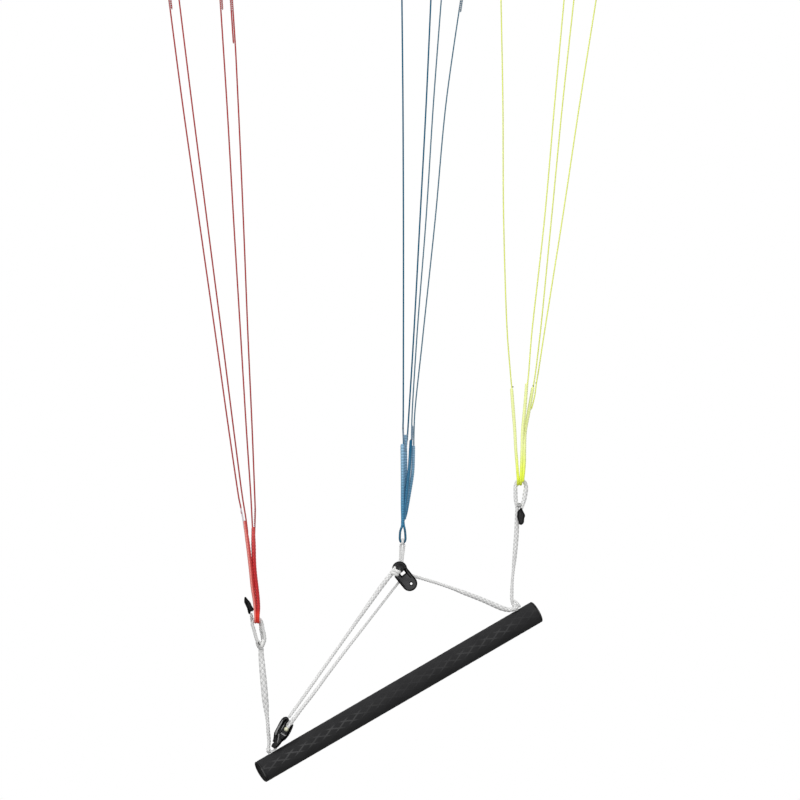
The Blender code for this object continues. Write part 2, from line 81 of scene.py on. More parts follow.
camera_data = bpy.data.cameras.new("camera")
camera_data.sensor_width = SENSOR
camera_data.lens = SENSOR * CAMERA_DISTANCE / (VIEW_SIDE * MM)
camera = bpy.data.objects.new("camera", camera_data)
camera.location = (VIEW_CENTRE[0] * MM, -CAMERA_DISTANCE, VIEW_CENTRE[1] * MM)
camera.rotation_euler = (math.radians(90), 0, 0)
bpy.context.scene.collection.objects.link(camera)
bpy.context.scene.camera = camera
bpy.context.scene.view_settings.view_transform = "Standard"
print("lens", round(camera_data.lens), "mm")

# %% [markdown]
# ## Shader maths that reads like maths
# A braid is a formula, so its material is one too. Building it from loose Math nodes is slow to
# write and hard to read. A small class wraps a socket instead, and each sign in an expression
# adds its node. Every other kind of node comes from one method.

# %% Terms
class Term:
    """A socket in a node tree; arithmetic on it adds Math nodes."""

    def __init__(self, recipe, socket):
        self.recipe = recipe
        self.socket = socket

    def math(self, operation, *others):
        return self.recipe.node("ShaderNodeMath", dict(enumerate((self, *others))), operation=operation)

    def __add__(self, other):
        return self.math("ADD", other)

    def __mul__(self, other):
        return self.math("MULTIPLY", other)

    def __sub__(self, other):
        return self.math("SUBTRACT", other)

    def __rsub__(self, other):
        return self.recipe.node("ShaderNodeMath", {0: other, 1: self}, operation="SUBTRACT")

    def __pow__(self, other):
        return self.math("POWER", other)

    __radd__ = __add__
    __rmul__ = __mul__

    def fract(self):
        return self.math("FRACT")

    def floor(self):
        return self.math("FLOOR")

    def sin(self):
        return self.math("SINE")

    def least(self, other):
        return self.math("MINIMUM", other)

    def step(self, low, high):
        """Smoothly 0 below low and 1 above high; high may be the smaller."""
        inputs = {"Value": self, "From Min": low, "From Max": high}
        return self.recipe.node("ShaderNodeMapRange", inputs, interpolation_type="SMOOTHSTEP")


print("terms ready")

# %% Recipes
class Recipe:
    """A node tree; each node that it adds comes back as a term."""

    def __init__(self, tree):
        self.tree = tree

    def node(self, kind, inputs=None, output=0, **settings):
        """Adds a node: its settings first, then the values or links of its sockets."""
        made = self.tree.nodes.new(kind)
        for key, value in settings.items():
            setattr(made, key, value)
        for key, value in (inputs or {}).items():
            if isinstance(value, Term):
                self.tree.links.new(value.socket, made.inputs[key])
            else:
                made.inputs[key].default_value = value
        return Term(self, made.outputs[output])

    def mix(self, factor, first, second):
        """Blends two colours."""
        return self.node("ShaderNodeMix", {0: factor, 6: first, 7: second}, output=2, data_type="RGBA")

    def noise(self, where, scale, detail=2.0):
        return self.node("ShaderNodeTexNoise", {"Vector": where, "Scale": scale, "Detail": detail})

    def place(self):
        return self.node("ShaderNodeTexCoord", output="Object")

    def flat(self):
        """The two numbers of the UV map: the share round the cord, and the turns along it."""
        uv = self.node("ShaderNodeTexCoord", output="UV")
        return [self.node("ShaderNodeSeparateXYZ", {0: uv}, output=axis) for axis in ("X", "Y")]


class Finish(Recipe):
    """A material, and the nodes that feed its Principled shader."""

    def __init__(self, name, fixed):
        self.material = bpy.data.materials.new(name)
        self.material.use_nodes = True
        super().__init__(self.material.node_tree)
        self.shader = self.tree.nodes["Principled BSDF"]
        for socket, value in fixed.items():
            self.shader.inputs[socket].default_value = value

    def feed(self, socket, term):
        self.tree.links.new(term.socket, self.shader.inputs[socket])

    def bump(self, height, distance, strength):
        inputs = {"Height": height, "Distance": distance, "Strength": strength}
        self.feed("Normal", self.node("ShaderNodeBump", inputs))


def tint(red, green, blue):
    return (red, green, blue, 1.0)


def grey(level, blue=None):
    """A neutral tint; its blue may be a little off, for a warm or a cold grey."""
    return tint(level, level, level if blue is None else blue)


print("shader tools ready")

# %% [markdown]
# ## Braided cord, as a finish
# A braid is two families of strands that wind opposite ways round the cord and pass over and
# under each other. The grid's UV map holds the share round the cord and the number of turns along
# it, so the sum and the difference of the two number the strands of each family. The same two
# numbers shape the mesh further down, so the dark gaps of the finish, which are painted shade,
# fall in its valleys.

# %% Braid finish
STRAND_LIT = (0.1, 0.85)
STRAND_TONE = 0.3
SPECK_SCALE = 620.0
SPECK_CUT = (0.54, 0.66)
THREAD_SHADE = 0.16
HAZE_SCALE = 2600.0


def braid_terms(recipe, around, turns, carriers):
    """Places across and along the strand on top, which family it is of, and its crossing."""
    first = (around - turns) * carriers
    second = (around + turns) * carriers
    over = ((first.floor() + second.floor()) * 0.5).fract() * 2.0
    across = first.fract() + (second.fract() - first.fract()) * over
    along = second.fract() + (first.fract() - second.fract()) * over
    crossing = recipe.node("ShaderNodeCombineXYZ", {0: first.floor(), 1: second.floor()})
    return across, along, over, crossing


def braided(name, colour, gap, carriers, fibres=5, roughness=0.75, fuzz=0.05, worn=None, gloss=0.12,
            specks=0.0, faded=(), streaks=(), weave=0.0):
    """Cord with painted shade: it is darker in the gaps between strands.

    A fade is (colour, from, to, share) by height; a streak is (share round, width, colour, share),
    a painted highlight or painted shade down one side of the cord.
    weave darkens the strands that wind one way, which gives the cord its checks.
    """
    recipe = Finish(name, {"Roughness": roughness, "Specular IOR Level": gloss})
    around, turns = recipe.flat()
    across, along, over, crossing = braid_terms(recipe, around, turns, carriers)
    crown = (across * (1.0 - across) * 4.0) ** 0.5
    hump = (along * (1.0 - along) * 4.0) ** 0.5
    lit = (crown * hump).step(*STRAND_LIT)
    # Painted shade: the gap colour darkens the valleys between the strands.
    base = recipe.mix(lit, gap, colour)
    tone = recipe.node("ShaderNodeTexWhiteNoise", {"Vector": crossing})
    base = recipe.mix(tone * STRAND_TONE, base, worn or gap)
    where = recipe.place()
    level = recipe.node("ShaderNodeSeparateXYZ", {0: where}, output="Z")
    for shade, low, high, share in faded:
        base = recipe.mix(level.step(low * MM, high * MM) * share, base, shade)
    for middle, width, shade, share in streaks:
        aside = ((around - middle + 0.5).fract() - 0.5).math("ABSOLUTE")
        base = recipe.mix(aside.step(width, width * 0.3) * share, base, shade)
    if weave:
        base = recipe.mix(over * weave, base, gap)
    if specks:
        soot = recipe.noise(where, SPECK_SCALE, 1.0).step(*SPECK_CUT)
        base = recipe.mix(soot * specks, base, gap)
    threads = (across * (math.tau * fibres)).sin() * 0.5 + 0.5
    haze = recipe.noise(where, HAZE_SCALE, 3.0)
    recipe.feed("Base Color", recipe.mix(threads * THREAD_SHADE, base, gap))
    recipe.bump(threads * 0.6 + haze * 0.4 + lit * 0.5, fuzz * MM, 0.7)
    return recipe.material


print("braid finish ready")

# %% White ropes and cores
WHITE_CARRIERS = 4
LINE_CARRIERS = 4
WHITE = grey(0.94, 0.93)
# The gap colour is painted shade between the strands.
WHITE_GAP = grey(0.50)
# The left leader's rope is darker from -858 mm up, over the top of its run and its loop.
LOOP_DARKER = [(grey(0.60, 0.59), -858, -840, 0.6)]

white_rope = braided("white_rope", WHITE, WHITE_GAP, WHITE_CARRIERS, specks=0.42)
# Painted light: a lighter copy of the white rope, with paler gaps and fewer specks, for the neck's nub and
# the eye.
lit_rope = braided("lit_rope", WHITE, grey(0.66, 0.64), WHITE_CARRIERS, specks=0.2)
looped_rope = braided("looped_rope", WHITE, WHITE_GAP, WHITE_CARRIERS, specks=0.45, faded=LOOP_DARKER)
# Painted shade: a darker grey copy of the white rope, with deep gaps and many specks, for the doubled leg,
# the neck wraps, the tab's tie and the strand in the cleat.
shaded_rope = braided("shaded_rope", grey(0.80, 0.79), grey(0.16), WHITE_CARRIERS, specks=0.7)
cream_end = braided("cream_rope_end", grey(0.90, 0.70), grey(0.50, 0.36), WHITE_CARRIERS)
pale_core = braided("pale_core", tint(0.84, 0.80, 0.84), tint(0.38, 0.34, 0.40), LINE_CARRIERS)
blue_core = braided("blue_core", tint(0.42, 0.52, 0.64), tint(0.07, 0.13, 0.19), LINE_CARRIERS, weave=0.6)
print("white rope has", 2 * WHITE_CARRIERS, "strands")

# %% Coloured sleeves and lines
SLEEVE_CARRIERS = 5
SLEEVE_WEAVE = {"red": 0.32, "blue": 0.5, "yellow": 0.25}
LEFT, RIGHT = 0.5, 0.0
# The gap colours of the sleeves are painted shade between the strands.
RED_GAP = tint(0.21, 0.010, 0.012)
RED_FADED = [(tint(0.92, 0.30, 0.27), -740, -690, 0.3), (tint(1.0, 0.07, 0.04), -790, -798, 0.7)]
# The streak colours lie down one side of a sleeve: the pink and pale ones are painted highlights, the dark
# and olive ones painted shade.
PINK_HIGHLIGHT = tint(1.0, 0.40, 0.35)
RED_SHADE = tint(0.20, 0.008, 0.014)
BLUE = tint(0.13, 0.47, 0.76)
BLUE_GAP = tint(0.014, 0.085, 0.17)
BLUE_FADED = [(tint(0.42, 0.66, 0.86), -690, -585, 0.9)]
LOOP_DARK = [(tint(0.025, 0.10, 0.155), -689, -696, 0.85)]
BLUE_SHADE = tint(0.04, 0.14, 0.23)
BLUE_HIGHLIGHT = tint(0.55, 0.74, 0.92)
YELLOW = tint(0.93, 1.0, 0.10)
YELLOW_GAP = tint(0.69, 0.83, 0.07)
YELLOW_FADED = [(tint(0.97, 1.0, 0.58), -634, -588, 0.85)]
YELLOW_HIGHLIGHT = tint(0.98, 1.0, 0.50)
OLIVE_SHADE = tint(0.50, 0.58, 0.14)
SLEEVE_LOOKS = {
    "left_1": ("red", tint(0.92, 0.085, 0.08), RED_GAP, RED_FADED, [(0.38, 0.20, PINK_HIGHLIGHT, 0.75)]),
    "left_2": ("red", tint(0.88, 0.060, 0.065), RED_GAP, RED_FADED,
               [(LEFT, 0.12, RED_SHADE, 0.35), (RIGHT, 0.1, PINK_HIGHLIGHT, 0.3)]),
    "front_1": ("blue", BLUE, BLUE_GAP, BLUE_FADED + LOOP_DARK, [(LEFT, 0.13, BLUE_SHADE, 0.6)]),
    "front_2": ("blue", BLUE, BLUE_GAP, BLUE_FADED, [(RIGHT, 0.10, BLUE_SHADE, 0.5)]),
    "front_3": ("blue", tint(0.09, 0.28, 0.46), BLUE_GAP, [(tint(0.010, 0.13, 0.26), -610, -598, 0.9)],
                [(RIGHT, 0.14, BLUE_HIGHLIGHT, 0.7), (LEFT, 0.15, BLUE_SHADE, 0.5)]),
    "front_4": ("blue", BLUE, BLUE_GAP, BLUE_FADED,
                [(LEFT, 0.14, BLUE_HIGHLIGHT, 0.7), (RIGHT, 0.15, BLUE_SHADE, 0.7)]),
    "right_1": ("yellow", YELLOW, YELLOW_GAP, YELLOW_FADED, [(LEFT, 0.14, YELLOW_HIGHLIGHT, 0.6)]),
    "right_2": ("yellow", YELLOW, YELLOW_GAP, YELLOW_FADED, []),
    "right_3": ("yellow", YELLOW, YELLOW_GAP, YELLOW_FADED, [(RIGHT, 0.14, OLIVE_SHADE, 0.3)]),
}
# Each line's second colour is its gap colour, painted shade between the strands.
LINE_TINTS = {
    "red": (tint(0.50, 0.045, 0.045), tint(0.16, 0.010, 0.012), tint(0.60, 0.12, 0.11)),
    "blue": (tint(0.008, 0.15, 0.26), tint(0.003, 0.04, 0.085), tint(0.05, 0.18, 0.28)),
    "slate": (tint(0.07, 0.20, 0.29), tint(0.02, 0.06, 0.10), tint(0.22, 0.34, 0.40)),
    "yellow": (tint(0.88, 0.96, 0.15), tint(0.60, 0.68, 0.08), tint(0.93, 0.97, 0.45)),
}
sleeve_looks = {}
line_looks = {}
for place, (hue, colour, gap, faded, streaks) in SLEEVE_LOOKS.items():
    sleeve_looks[place] = braided(
        "sleeve_look_" + place, colour, gap, SLEEVE_CARRIERS, 3, faded=faded, streaks=streaks,
        weave=SLEEVE_WEAVE[hue])
for hue, (colour, gap, worn) in LINE_TINTS.items():
    line_looks[hue] = braided(hue + "_line", colour, gap, LINE_CARRIERS, 3, 0.7, 0.03, worn, 0.05)
print("sleeve finishes:", len(sleeve_looks), "and line finishes:", len(line_looks))

# %% [markdown]
# ## Foam grip, moulded plastic and thread
# The grip is dense black foam with a fine pebble skin; its raised diamond net is smoother and
# greyer where hands wear it, and that grey is painted only in the bands that face front and back,
# so it is partly a painted highlight. The fittings are moulded in black plastic with a soft gloss;
# the faces that a rule marks are painted paler, a painted sheen. Each gets noise at a real scale,
# because a single flat black hides the shape of such dark pieces.

# %% Foam
NET_AROUND = 10
NET_RIB = 1.2
NET_CELL_WIDTH = 8.0
NET_FACING = 0.5 - 9 / 360
# The bands, front and back, where the net stands highest and is painted paler, a painted highlight.
NET_BAND = (0.72, 0.94)
PORE_SCALE = 1500.0
PORE_DEPTH = 0.12
CLOUD_SCALE = 60.0
RUB_SCALE = 26.0


def foam_finish():
    """Pebbled foam; its net is pale at the left and in worn patches, but only in the bands that face front
    and back, a painted highlight.
    """
    recipe = Finish("grip_foam", {"Specular IOR Level": 0.1, "Coat Roughness": 0.4, "Coat IOR": 1.45})
    around, turns = recipe.flat()
    first = ((around - turns) * NET_AROUND).fract()
    second = ((around + turns) * NET_AROUND).fract()
    nearest = first.least(1.0 - first).least(second.least(1.0 - second))
    rib = nearest.step(NET_RIB * 1.2 / NET_CELL_WIDTH, NET_RIB * 0.1 / NET_CELL_WIDTH)
    band = ((around - NET_FACING + 0.125) * (4 * math.pi)).sin().step(*NET_BAND)
    where = recipe.place()
    pebble = recipe.noise(where, PORE_SCALE, 3.0)
    cloud = recipe.noise(where, CLOUD_SCALE, 4.0)
    handled = turns.step(1.0, 0.1)
    sheen_and_wear = recipe.noise(where, RUB_SCALE, 2.0).step(0.38, 0.62)
    skin = recipe.mix(cloud, grey(0.019, 0.020), grey(0.034, 0.035))
    # Painted highlight: the ribs are paler only inside the bands, more so where worn.
    rib_sheen_and_wear = rib * (band * (handled * 0.4 + sheen_and_wear * 0.4 + 0.08) + 0.03)
    recipe.feed("Base Color", recipe.mix(rib_sheen_and_wear, skin, grey(0.060, 0.061)))
    recipe.feed("Roughness", 0.8 - rib * 0.1 + pebble * 0.1)
    recipe.feed("Coat Weight", rib_sheen_and_wear * 0.4)
    recipe.bump(pebble * (1.0 - rib * 0.7), PORE_DEPTH * MM, 0.6)
    return recipe.material


foam = foam_finish()
print("foam ready, its net", NET_AROUND, "diamonds round")

# %% Moulded plastic
PATCH_SCALE = 160.0
SCUFF_SCALE = 420.0
SCUFF_CUT = (0.60, 0.74)
SCUFF_PALER = 1.6
GRAIN_DEPTH = 0.03


def moulded_finish(name, edge, face, roughness, grain=900.0, gloss=0.4):
    """Black plastic: paler on the faces that a rule marks, a painted sheen, with a fine grain and scuffs."""
    recipe = Finish(name, {"Specular IOR Level": gloss, "Coat Roughness": 0.3})
    where = recipe.place()
    patch = recipe.noise(where, PATCH_SCALE, 3.0)
    fine = recipe.noise(where, grain, 2.0)
    scuff = recipe.noise(where, SCUFF_SCALE, 4.0).step(*SCUFF_CUT)
    sheen_and_wear = recipe.node("ShaderNodeAttribute", output="Fac", attribute_name="sheen_and_wear")
    # Painted sheen: the faces that the rule marks take the paler face colour.
    base = recipe.mix(sheen_and_wear * (patch * 0.6 + 0.7), edge, face)
    paler = tint(*(SCUFF_PALER * part for part in face[:3]))
    recipe.feed("Base Color", recipe.mix(scuff * 0.35, base, paler))
    recipe.feed("Roughness", patch * 0.2 + (roughness - 0.1) + scuff * 0.12)
    recipe.feed("Coat Weight", sheen_and_wear * gloss)
    recipe.bump(fine, GRAIN_DEPTH * MM, 0.35)
    return recipe.material


cap_plastic = moulded_finish("cap_plastic", grey(0.005), grey(0.10), 0.7, gloss=0.1)
dome_plastic = moulded_finish("dome_plastic", grey(0.003), grey(0.014, 0.015), 0.45, gloss=0.15)
plate_plastic = moulded_finish("plate_plastic", grey(0.002), grey(0.055, 0.057), 0.6, gloss=0.06)
cleat_plastic = moulded_finish("cleat_plastic", grey(0.003), grey(0.011, 0.012), 0.55, gloss=0.12)
shade_rubber = moulded_finish("shade_rubber", grey(0.001), grey(0.0015), 0.9, gloss=0.0)
# Painted highlight: a paler plastic for the strips on the cleat's crests.
highlight_plastic = moulded_finish("highlight_plastic", grey(0.03), grey(0.13), 0.40)
tooth_plastic = moulded_finish("tooth_plastic", grey(0.14, 0.15), grey(0.28), 0.45)
tab_rubber = moulded_finish("tab_rubber", grey(0.006), grey(0.011, 0.012), 0.65, 1400.0, 0.12)
print("moulded finishes ready, scuffs", round(1000 / SCUFF_SCALE, 1), "mm across")

# %% Tube and thread
TUBE_STRETCH = (1.0, 9.0, 9.0)
THREAD_DEPTH = 0.03


def drawn_tube_finish():
    """Aluminium with fine level scratches."""
    recipe = Finish("drawn_tube", {"Metallic": 1.0})
    stretch = recipe.node("ShaderNodeMapping", {"Vector": recipe.place(), "Scale": TUBE_STRETCH})
    scratch = recipe.noise(stretch, 300.0, 4.0)
    recipe.feed("Base Color", recipe.mix(scratch, tint(0.45, 0.46, 0.48), tint(0.62, 0.63, 0.65)))
    recipe.feed("Roughness", scratch * 0.25 + 0.25)
    return recipe.material


def thread_finish(name, colour, shade):
    """Sewing thread: a light twist seen as fine slanting lines."""
    recipe = Finish(name, {"Roughness": 0.6, "Specular IOR Level": 0.3})
    around, turns = recipe.flat()
    twist = ((around + turns * 3.0) * (4 * math.pi)).sin() * 0.5 + 0.5
    recipe.feed("Base Color", recipe.mix(twist, shade, colour))
    recipe.bump(twist, THREAD_DEPTH * MM, 0.5)
    return recipe.material


drawn_tube = drawn_tube_finish()
pale_thread = thread_finish("pale_thread", tint(0.80, 0.78, 0.78), tint(0.45, 0.42, 0.43))
red_thread = thread_finish("red_thread", tint(0.36, 0.02, 0.03), tint(0.16, 0.008, 0.012))
blue_thread = thread_finish("blue_thread", tint(0.02, 0.06, 0.10), tint(0.008, 0.025, 0.05))
dark_thread = thread_finish("dark_thread", grey(0.035, 0.03), grey(0.012))
print("finishes in all:", len(bpy.data.materials))

# %% [markdown]
# ## Floor, sky and lights
# The photo is a cut-out on white, lit softly from above and from the left. The floor is a plain
# pale disc under the object. The sky is brighter above than below, which gives the black pieces
# their dark undersides. The key lamp at upper left gives the highlights, and three weaker ones
# lighten what it leaves dark. The sky alone would be simpler, but then the edges of the black
# pieces would have nothing bright to mirror.

# %% Floor
FLOOR_Z = -1.35
FLOOR_RADIUS = 9.0
FLOOR_GLOW = 0.3


def make_floor():
    """A disc that the camera sees, and that throws no light back at the object."""
    recipe = Finish("floor", {"Roughness": 1.0, "Specular IOR Level": 0.0})
    recipe.shader.inputs["Emission Color"].default_value = grey(1.0)
    recipe.shader.inputs["Emission Strength"].default_value = FLOOR_GLOW
    grain = recipe.noise(recipe.place(), 3.0)
    recipe.feed("Base Color", recipe.mix(grain, grey(0.86), grey(0.90)))
    disc = bmesh.new()
    bmesh.ops.create_circle(disc, cap_ends=True, radius=FLOOR_RADIUS, segments=96)
    bmesh.ops.translate(disc, verts=disc.verts, vec=(0, 0, FLOOR_Z))
    mesh = bpy.data.meshes.new("floor")
    disc.to_mesh(mesh)
    disc.free()
    mesh.materials.append(recipe.material)
    floor = bpy.data.objects.new("floor", mesh)
    bpy.context.scene.collection.objects.link(floor)
    floor.visible_diffuse = False
    floor.visible_glossy = False


make_floor()
print("floor", -FLOOR_Z, "m below the loops")

# %% Sky
SKY_GLOW = {"From Min": -1.0, "From Max": 1.0, "To Min": 0.18, "To Max": 0.75}


def make_sky():
    """White where the camera looks; for light, bright above and dim below."""
    world = bpy.data.worlds.new("sky")
    world.use_nodes = True
    bpy.context.scene.world = world
    world.node_tree.nodes.clear()
    sky = Recipe(world.node_tree)
    way = sky.node("ShaderNodeTexCoord", output="Generated")
    height = sky.node("ShaderNodeSeparateXYZ", {0: way}, output="Z")
    strength = sky.node("ShaderNodeMapRange", {"Value": height, **SKY_GLOW})
    glow = sky.node("ShaderNodeBackground", {"Color": grey(1.0), "Strength": strength})
    plain = sky.node("ShaderNodeBackground", {"Color": grey(1.0), "Strength": 1.0})
    camera_ray = sky.node("ShaderNodeLightPath", output="Is Camera Ray")
    choice = sky.node("ShaderNodeMixShader", {0: camera_ray, 1: glow, 2: plain})
    out = sky.tree.nodes.new("ShaderNodeOutputWorld")
    sky.tree.links.new(choice.socket, out.inputs["Surface"])


make_sky()
print("sky", SKY_GLOW["To Min"], "below and", SKY_GLOW["To Max"], "above")

# %% Lamps
LAMPS = {
    "key": ((-1.8, -2.2, 1.4), 1.4, 46.0),
    "front": ((0.2, -3.4, -0.9), 1.0, 30.0),
    "fill": ((2.4, -2.6, 0.2), 2.0, 12.0),
    "back": ((0.4, 2.6, 0.9), 2.0, 16.0),
}


def make_lamp(name, spot, size, watts):
    """A square soft lamp that faces the object's middle."""
    lamp = bpy.data.lights.new(name, "AREA")
    lamp.size = size
    lamp.energy = watts
    holder = bpy.data.objects.new(name, lamp)
    holder.location = spot
    middle = Vector((0, 0, VIEW_CENTRE[1] * MM))
    holder.rotation_euler = (middle - Vector(spot)).to_track_quat("-Z", "Y").to_euler()
    bpy.context.scene.collection.objects.link(holder)


for name, (spot, size, watts) in LAMPS.items():
    make_lamp(name, spot, size, watts)
print("lamps:", len(LAMPS))

# %% [markdown]
# ## From a flat grid to a cord
# A rope could be made of separate strands, each its own tube, but they would cut into each other
# and cost many faces. Here a flat grid is made by one operator and rolled round the route: a
# column of the grid goes round the cord, a row goes along it, and each point is pushed out or in
# by the braid's own height. The grid's steps fall on the creases or close to them, so the strands
# stay crisp. Each end is rounded over, down to a small flat tip.

# %% Routes
def fine_route(knots, steps=24):
    """Close points and radii along the smooth curve through the knots, in millimetres."""
    spots = np.array([knot[:3] for knot in knots], float)
    widths = np.array([knot[3] for knot in knots], float)
    spans = np.linalg.norm(np.diff(spots, axis=0), axis=1)
    slopes = np.diff(spots, axis=0) / spans[:, None]
    share = (spans[:-1] / (spans[:-1] + spans[1:]))[:, None]
    inner = slopes[:-1] * (1 - share) + slopes[1:] * share
    aims = np.vstack([slopes[:1], inner, slopes[-1:]])
    leaving = np.minimum(spans, 2 * np.append(spans[0], spans[:-1]))
    coming = np.minimum(spans, 2 * np.append(spans[1:], spans[-1]))
    points, radii = [], []
    for i in range(len(spans)):
        for t in np.arange(steps) / steps:
            points.append(
                spots[i] * (2 * t**3 - 3 * t**2 + 1) + aims[i] * leaving[i] * (t**3 - 2 * t**2 + t)
                + spots[i + 1] * (3 * t**2 - 2 * t**3) + aims[i + 1] * coming[i] * (t**3 - t**2)
            )
            radii.append(widths[i] * (1 - t) + widths[i + 1] * t)
    points.append(spots[-1])
    radii.append(widths[-1])
    return np.array(points), np.array(radii)


def run_along(points):
    """The distance run at each point."""
    return np.concatenate([[0.0], np.cumsum(np.linalg.norm(np.diff(points, axis=0), axis=1))])


def carried_frames(points):
    """Two directions across the route at each point, carried along without twist."""
    ways = np.gradient(points, axis=0)
    side = Vector(ways[0]).cross(Vector((0.0, 1.0, 0.02))).normalized()
    sides, ups = [], []
    for i, way in enumerate(ways):
        if i:
            side.rotate(Vector(ways[i - 1]).rotation_difference(Vector(way)))
        ahead = Vector(way).normalized()
        side = (side - ahead * side.dot(ahead)).normalized()
        sides.append(tuple(side))
        ups.append(tuple(ahead.cross(side)))
    return np.array(sides), np.array(ups)


def braid_height(around, turns, carriers):
    """0 in the gaps between the strands and 1 on top of each crossing."""
    first = carriers * (around - turns)
    second = carriers * (around + turns)
    over = np.mod(np.floor(first) + np.floor(second), 2) < 0.5
    in_first, in_second = first - np.floor(first), second - np.floor(second)
    across = np.where(over, in_first, in_second)
    along = np.where(over, in_second, in_first)
    return np.sin(np.pi * across) ** 0.7 * np.sin(np.pi * along) ** 0.45


print("route tools ready")

# %% Rolling a grid
LAY = 7.4
BRAID_MIDDLE = 0.6
TIP_SHARE = 0.3
ROPE_RELIEF = 0.4
pieces = []


def show(name, mesh, material):
    """Puts a finished mesh in the scene, its place in its points."""
    mesh.materials.append(material)
    piece = bpy.data.objects.new(name, mesh)
    bpy.context.scene.collection.objects.link(piece)
    pieces.append(piece)
    return piece


def settle(piece, body, slot, *nodes):
    """Says what a piece rides on and the CAD nodes it stands for; its slot is not used."""
    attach(piece, body)
    if nodes:
        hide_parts(*nodes)
    return piece


def rolled_sheet(points, radii, sides, rows_per_turn, carriers, relief, blunt):
    """Rolls a grid round a route, with the braid's height and rounded ends."""
    run = run_along(points)
    middle = (radii[1:] + radii[:-1]) / 2
    turn_at = np.concatenate([[0.0], np.cumsum(np.diff(run) / (LAY * middle))])
    rows = max(6, round(turn_at[-1] * rows_per_turn))
    turns = np.linspace(0, turn_at[-1], rows + 1)
    far = np.interp(turns, turn_at, run)
    centre = np.stack([np.interp(far, run, points[:, k]) for k in range(3)], axis=1)
    radius = np.interp(far, run, radii)
    inset = np.clip(np.minimum(far, far[-1] - far) / (radius * blunt), 0, 1)
    radius = radius * np.maximum(TIP_SHARE, np.sqrt(1 - (1 - inset) ** 2))
    side, up = carried_frames(centre)
    around = np.arange(sides) / sides
    height = 0.0
    if carriers:
        height = relief * (braid_height(around[None, :], turns[:, None], carriers) - BRAID_MIDDLE)
    reach = radius[:, None] + height * inset[:, None]
    angle = 2 * np.pi * around
    spread = side[:, None, :] * (reach * np.cos(angle))[:, :, None]
    lift = up[:, None, :] * (reach * np.sin(angle))[:, :, None]
    return (centre[:, None, :] + (spread + lift)) * MM, turns


def roll(name, knots, material, carriers=0, relief=0.0, fine=3, blunt=1.0, rows=None, steps=24):
    """A cord along its knots: each is (x, y, z, radius) in millimetres."""
    points, radii = fine_route(knots, steps)
    sides = 2 * carriers * fine if carriers else 8
    places, turns = rolled_sheet(points, radii, sides, rows or sides, carriers, relief, blunt)
    last = len(turns) - 1
    sheet = bmesh.new()
    layer = sheet.loops.layers.uv.new("UVMap")
    bmesh.ops.create_grid(sheet, x_segments=last, y_segments=sides, size=0.5)
    for face in sheet.faces:
        for corner in face.loops:
            flat = corner.vert.co
            corner[layer].uv = (flat.y + 0.5, turns[round((flat.x + 0.5) * last)])
    for vert in sheet.verts:
        row, column = round((vert.co.x + 0.5) * last), round((vert.co.y + 0.5) * sides)
        vert.co = places[row, column % sides]
    bmesh.ops.remove_doubles(sheet, verts=sheet.verts, dist=0.0005 * MM)
    bmesh.ops.holes_fill(sheet, edges=[edge for edge in sheet.edges if edge.is_boundary])
    bmesh.ops.recalc_face_normals(sheet, faces=sheet.faces)
    mesh = bpy.data.meshes.new(name)
    sheet.to_mesh(mesh)
    sheet.free()
    mesh.shade_smooth()
    return show(name, mesh, material)


def rope(name, knots, material=None, fine=3, blunt=0.6):
    """Braided rope at full detail, white where no other finish is given."""
    return roll(name, knots, material or white_rope, WHITE_CARRIERS, ROPE_RELIEF, fine, blunt)


def coil(centre, axis, reach, radius, pitch, start, stop, steps):
    """Knots of a coil round an axis, in millimetres; it turns from start to stop degrees."""
    axis = Vector(axis).normalized()
    side = axis.cross(Vector((0, 1, 0))).normalized()
    deep = axis.cross(side)
    knots = []
    for step in range(steps + 1):
        share = step / steps
        angle = math.radians(start + (stop - start) * share)
        spot = Vector(centre) + axis * (pitch * share * (stop - start) / 360)
        spot += side * (reach * math.cos(angle)) + deep * (reach * math.sin(angle))
        knots.append((*spot, radius))
    return knots


def triangles(piece):
    piece.data.calc_loop_triangles()
    return len(piece.data.loop_triangles)


print("rolling tools ready")

# %% [markdown]
# ## Turned and cut pieces
# Caps are turned: a profile is spun round an axis. The fittings are flat outlines, raised to a
# thickness and cut with simpler shapes. Live cutters would leave guides in the scene, so each cut
# is worked out once and its result kept. A cutter starts a clear millimetre outside the face that
# it cuts, so that the two never share a plane. A narrow bevel comes last, because the light that
# an edge catches is what makes a black moulding readable.

# %% Turned and cut pieces
CLEAR = 1.0
SHARP = math.radians(40)


def to_mesh(name, shape):
    bmesh.ops.recalc_face_normals(shape, faces=shape.faces)
    mesh = bpy.data.meshes.new(name)
    shape.to_mesh(mesh)
    shape.free()
    return mesh


def paint_sheen(mesh, rule):
    """Marks each face with how much painted sheen it gets, 0 to 1, by a rule of its middle and normal."""
    sheen_and_wear = mesh.attributes.new("sheen_and_wear", "FLOAT", "FACE")
    sheen_and_wear.data.foreach_set("value", [rule(face.center / MM, face.normal) for face in mesh.polygons])


def facing(middle, normal):
    """Faces that look at the viewer or straight away are painted paler, a painted sheen."""
    return abs(normal.y) ** 4


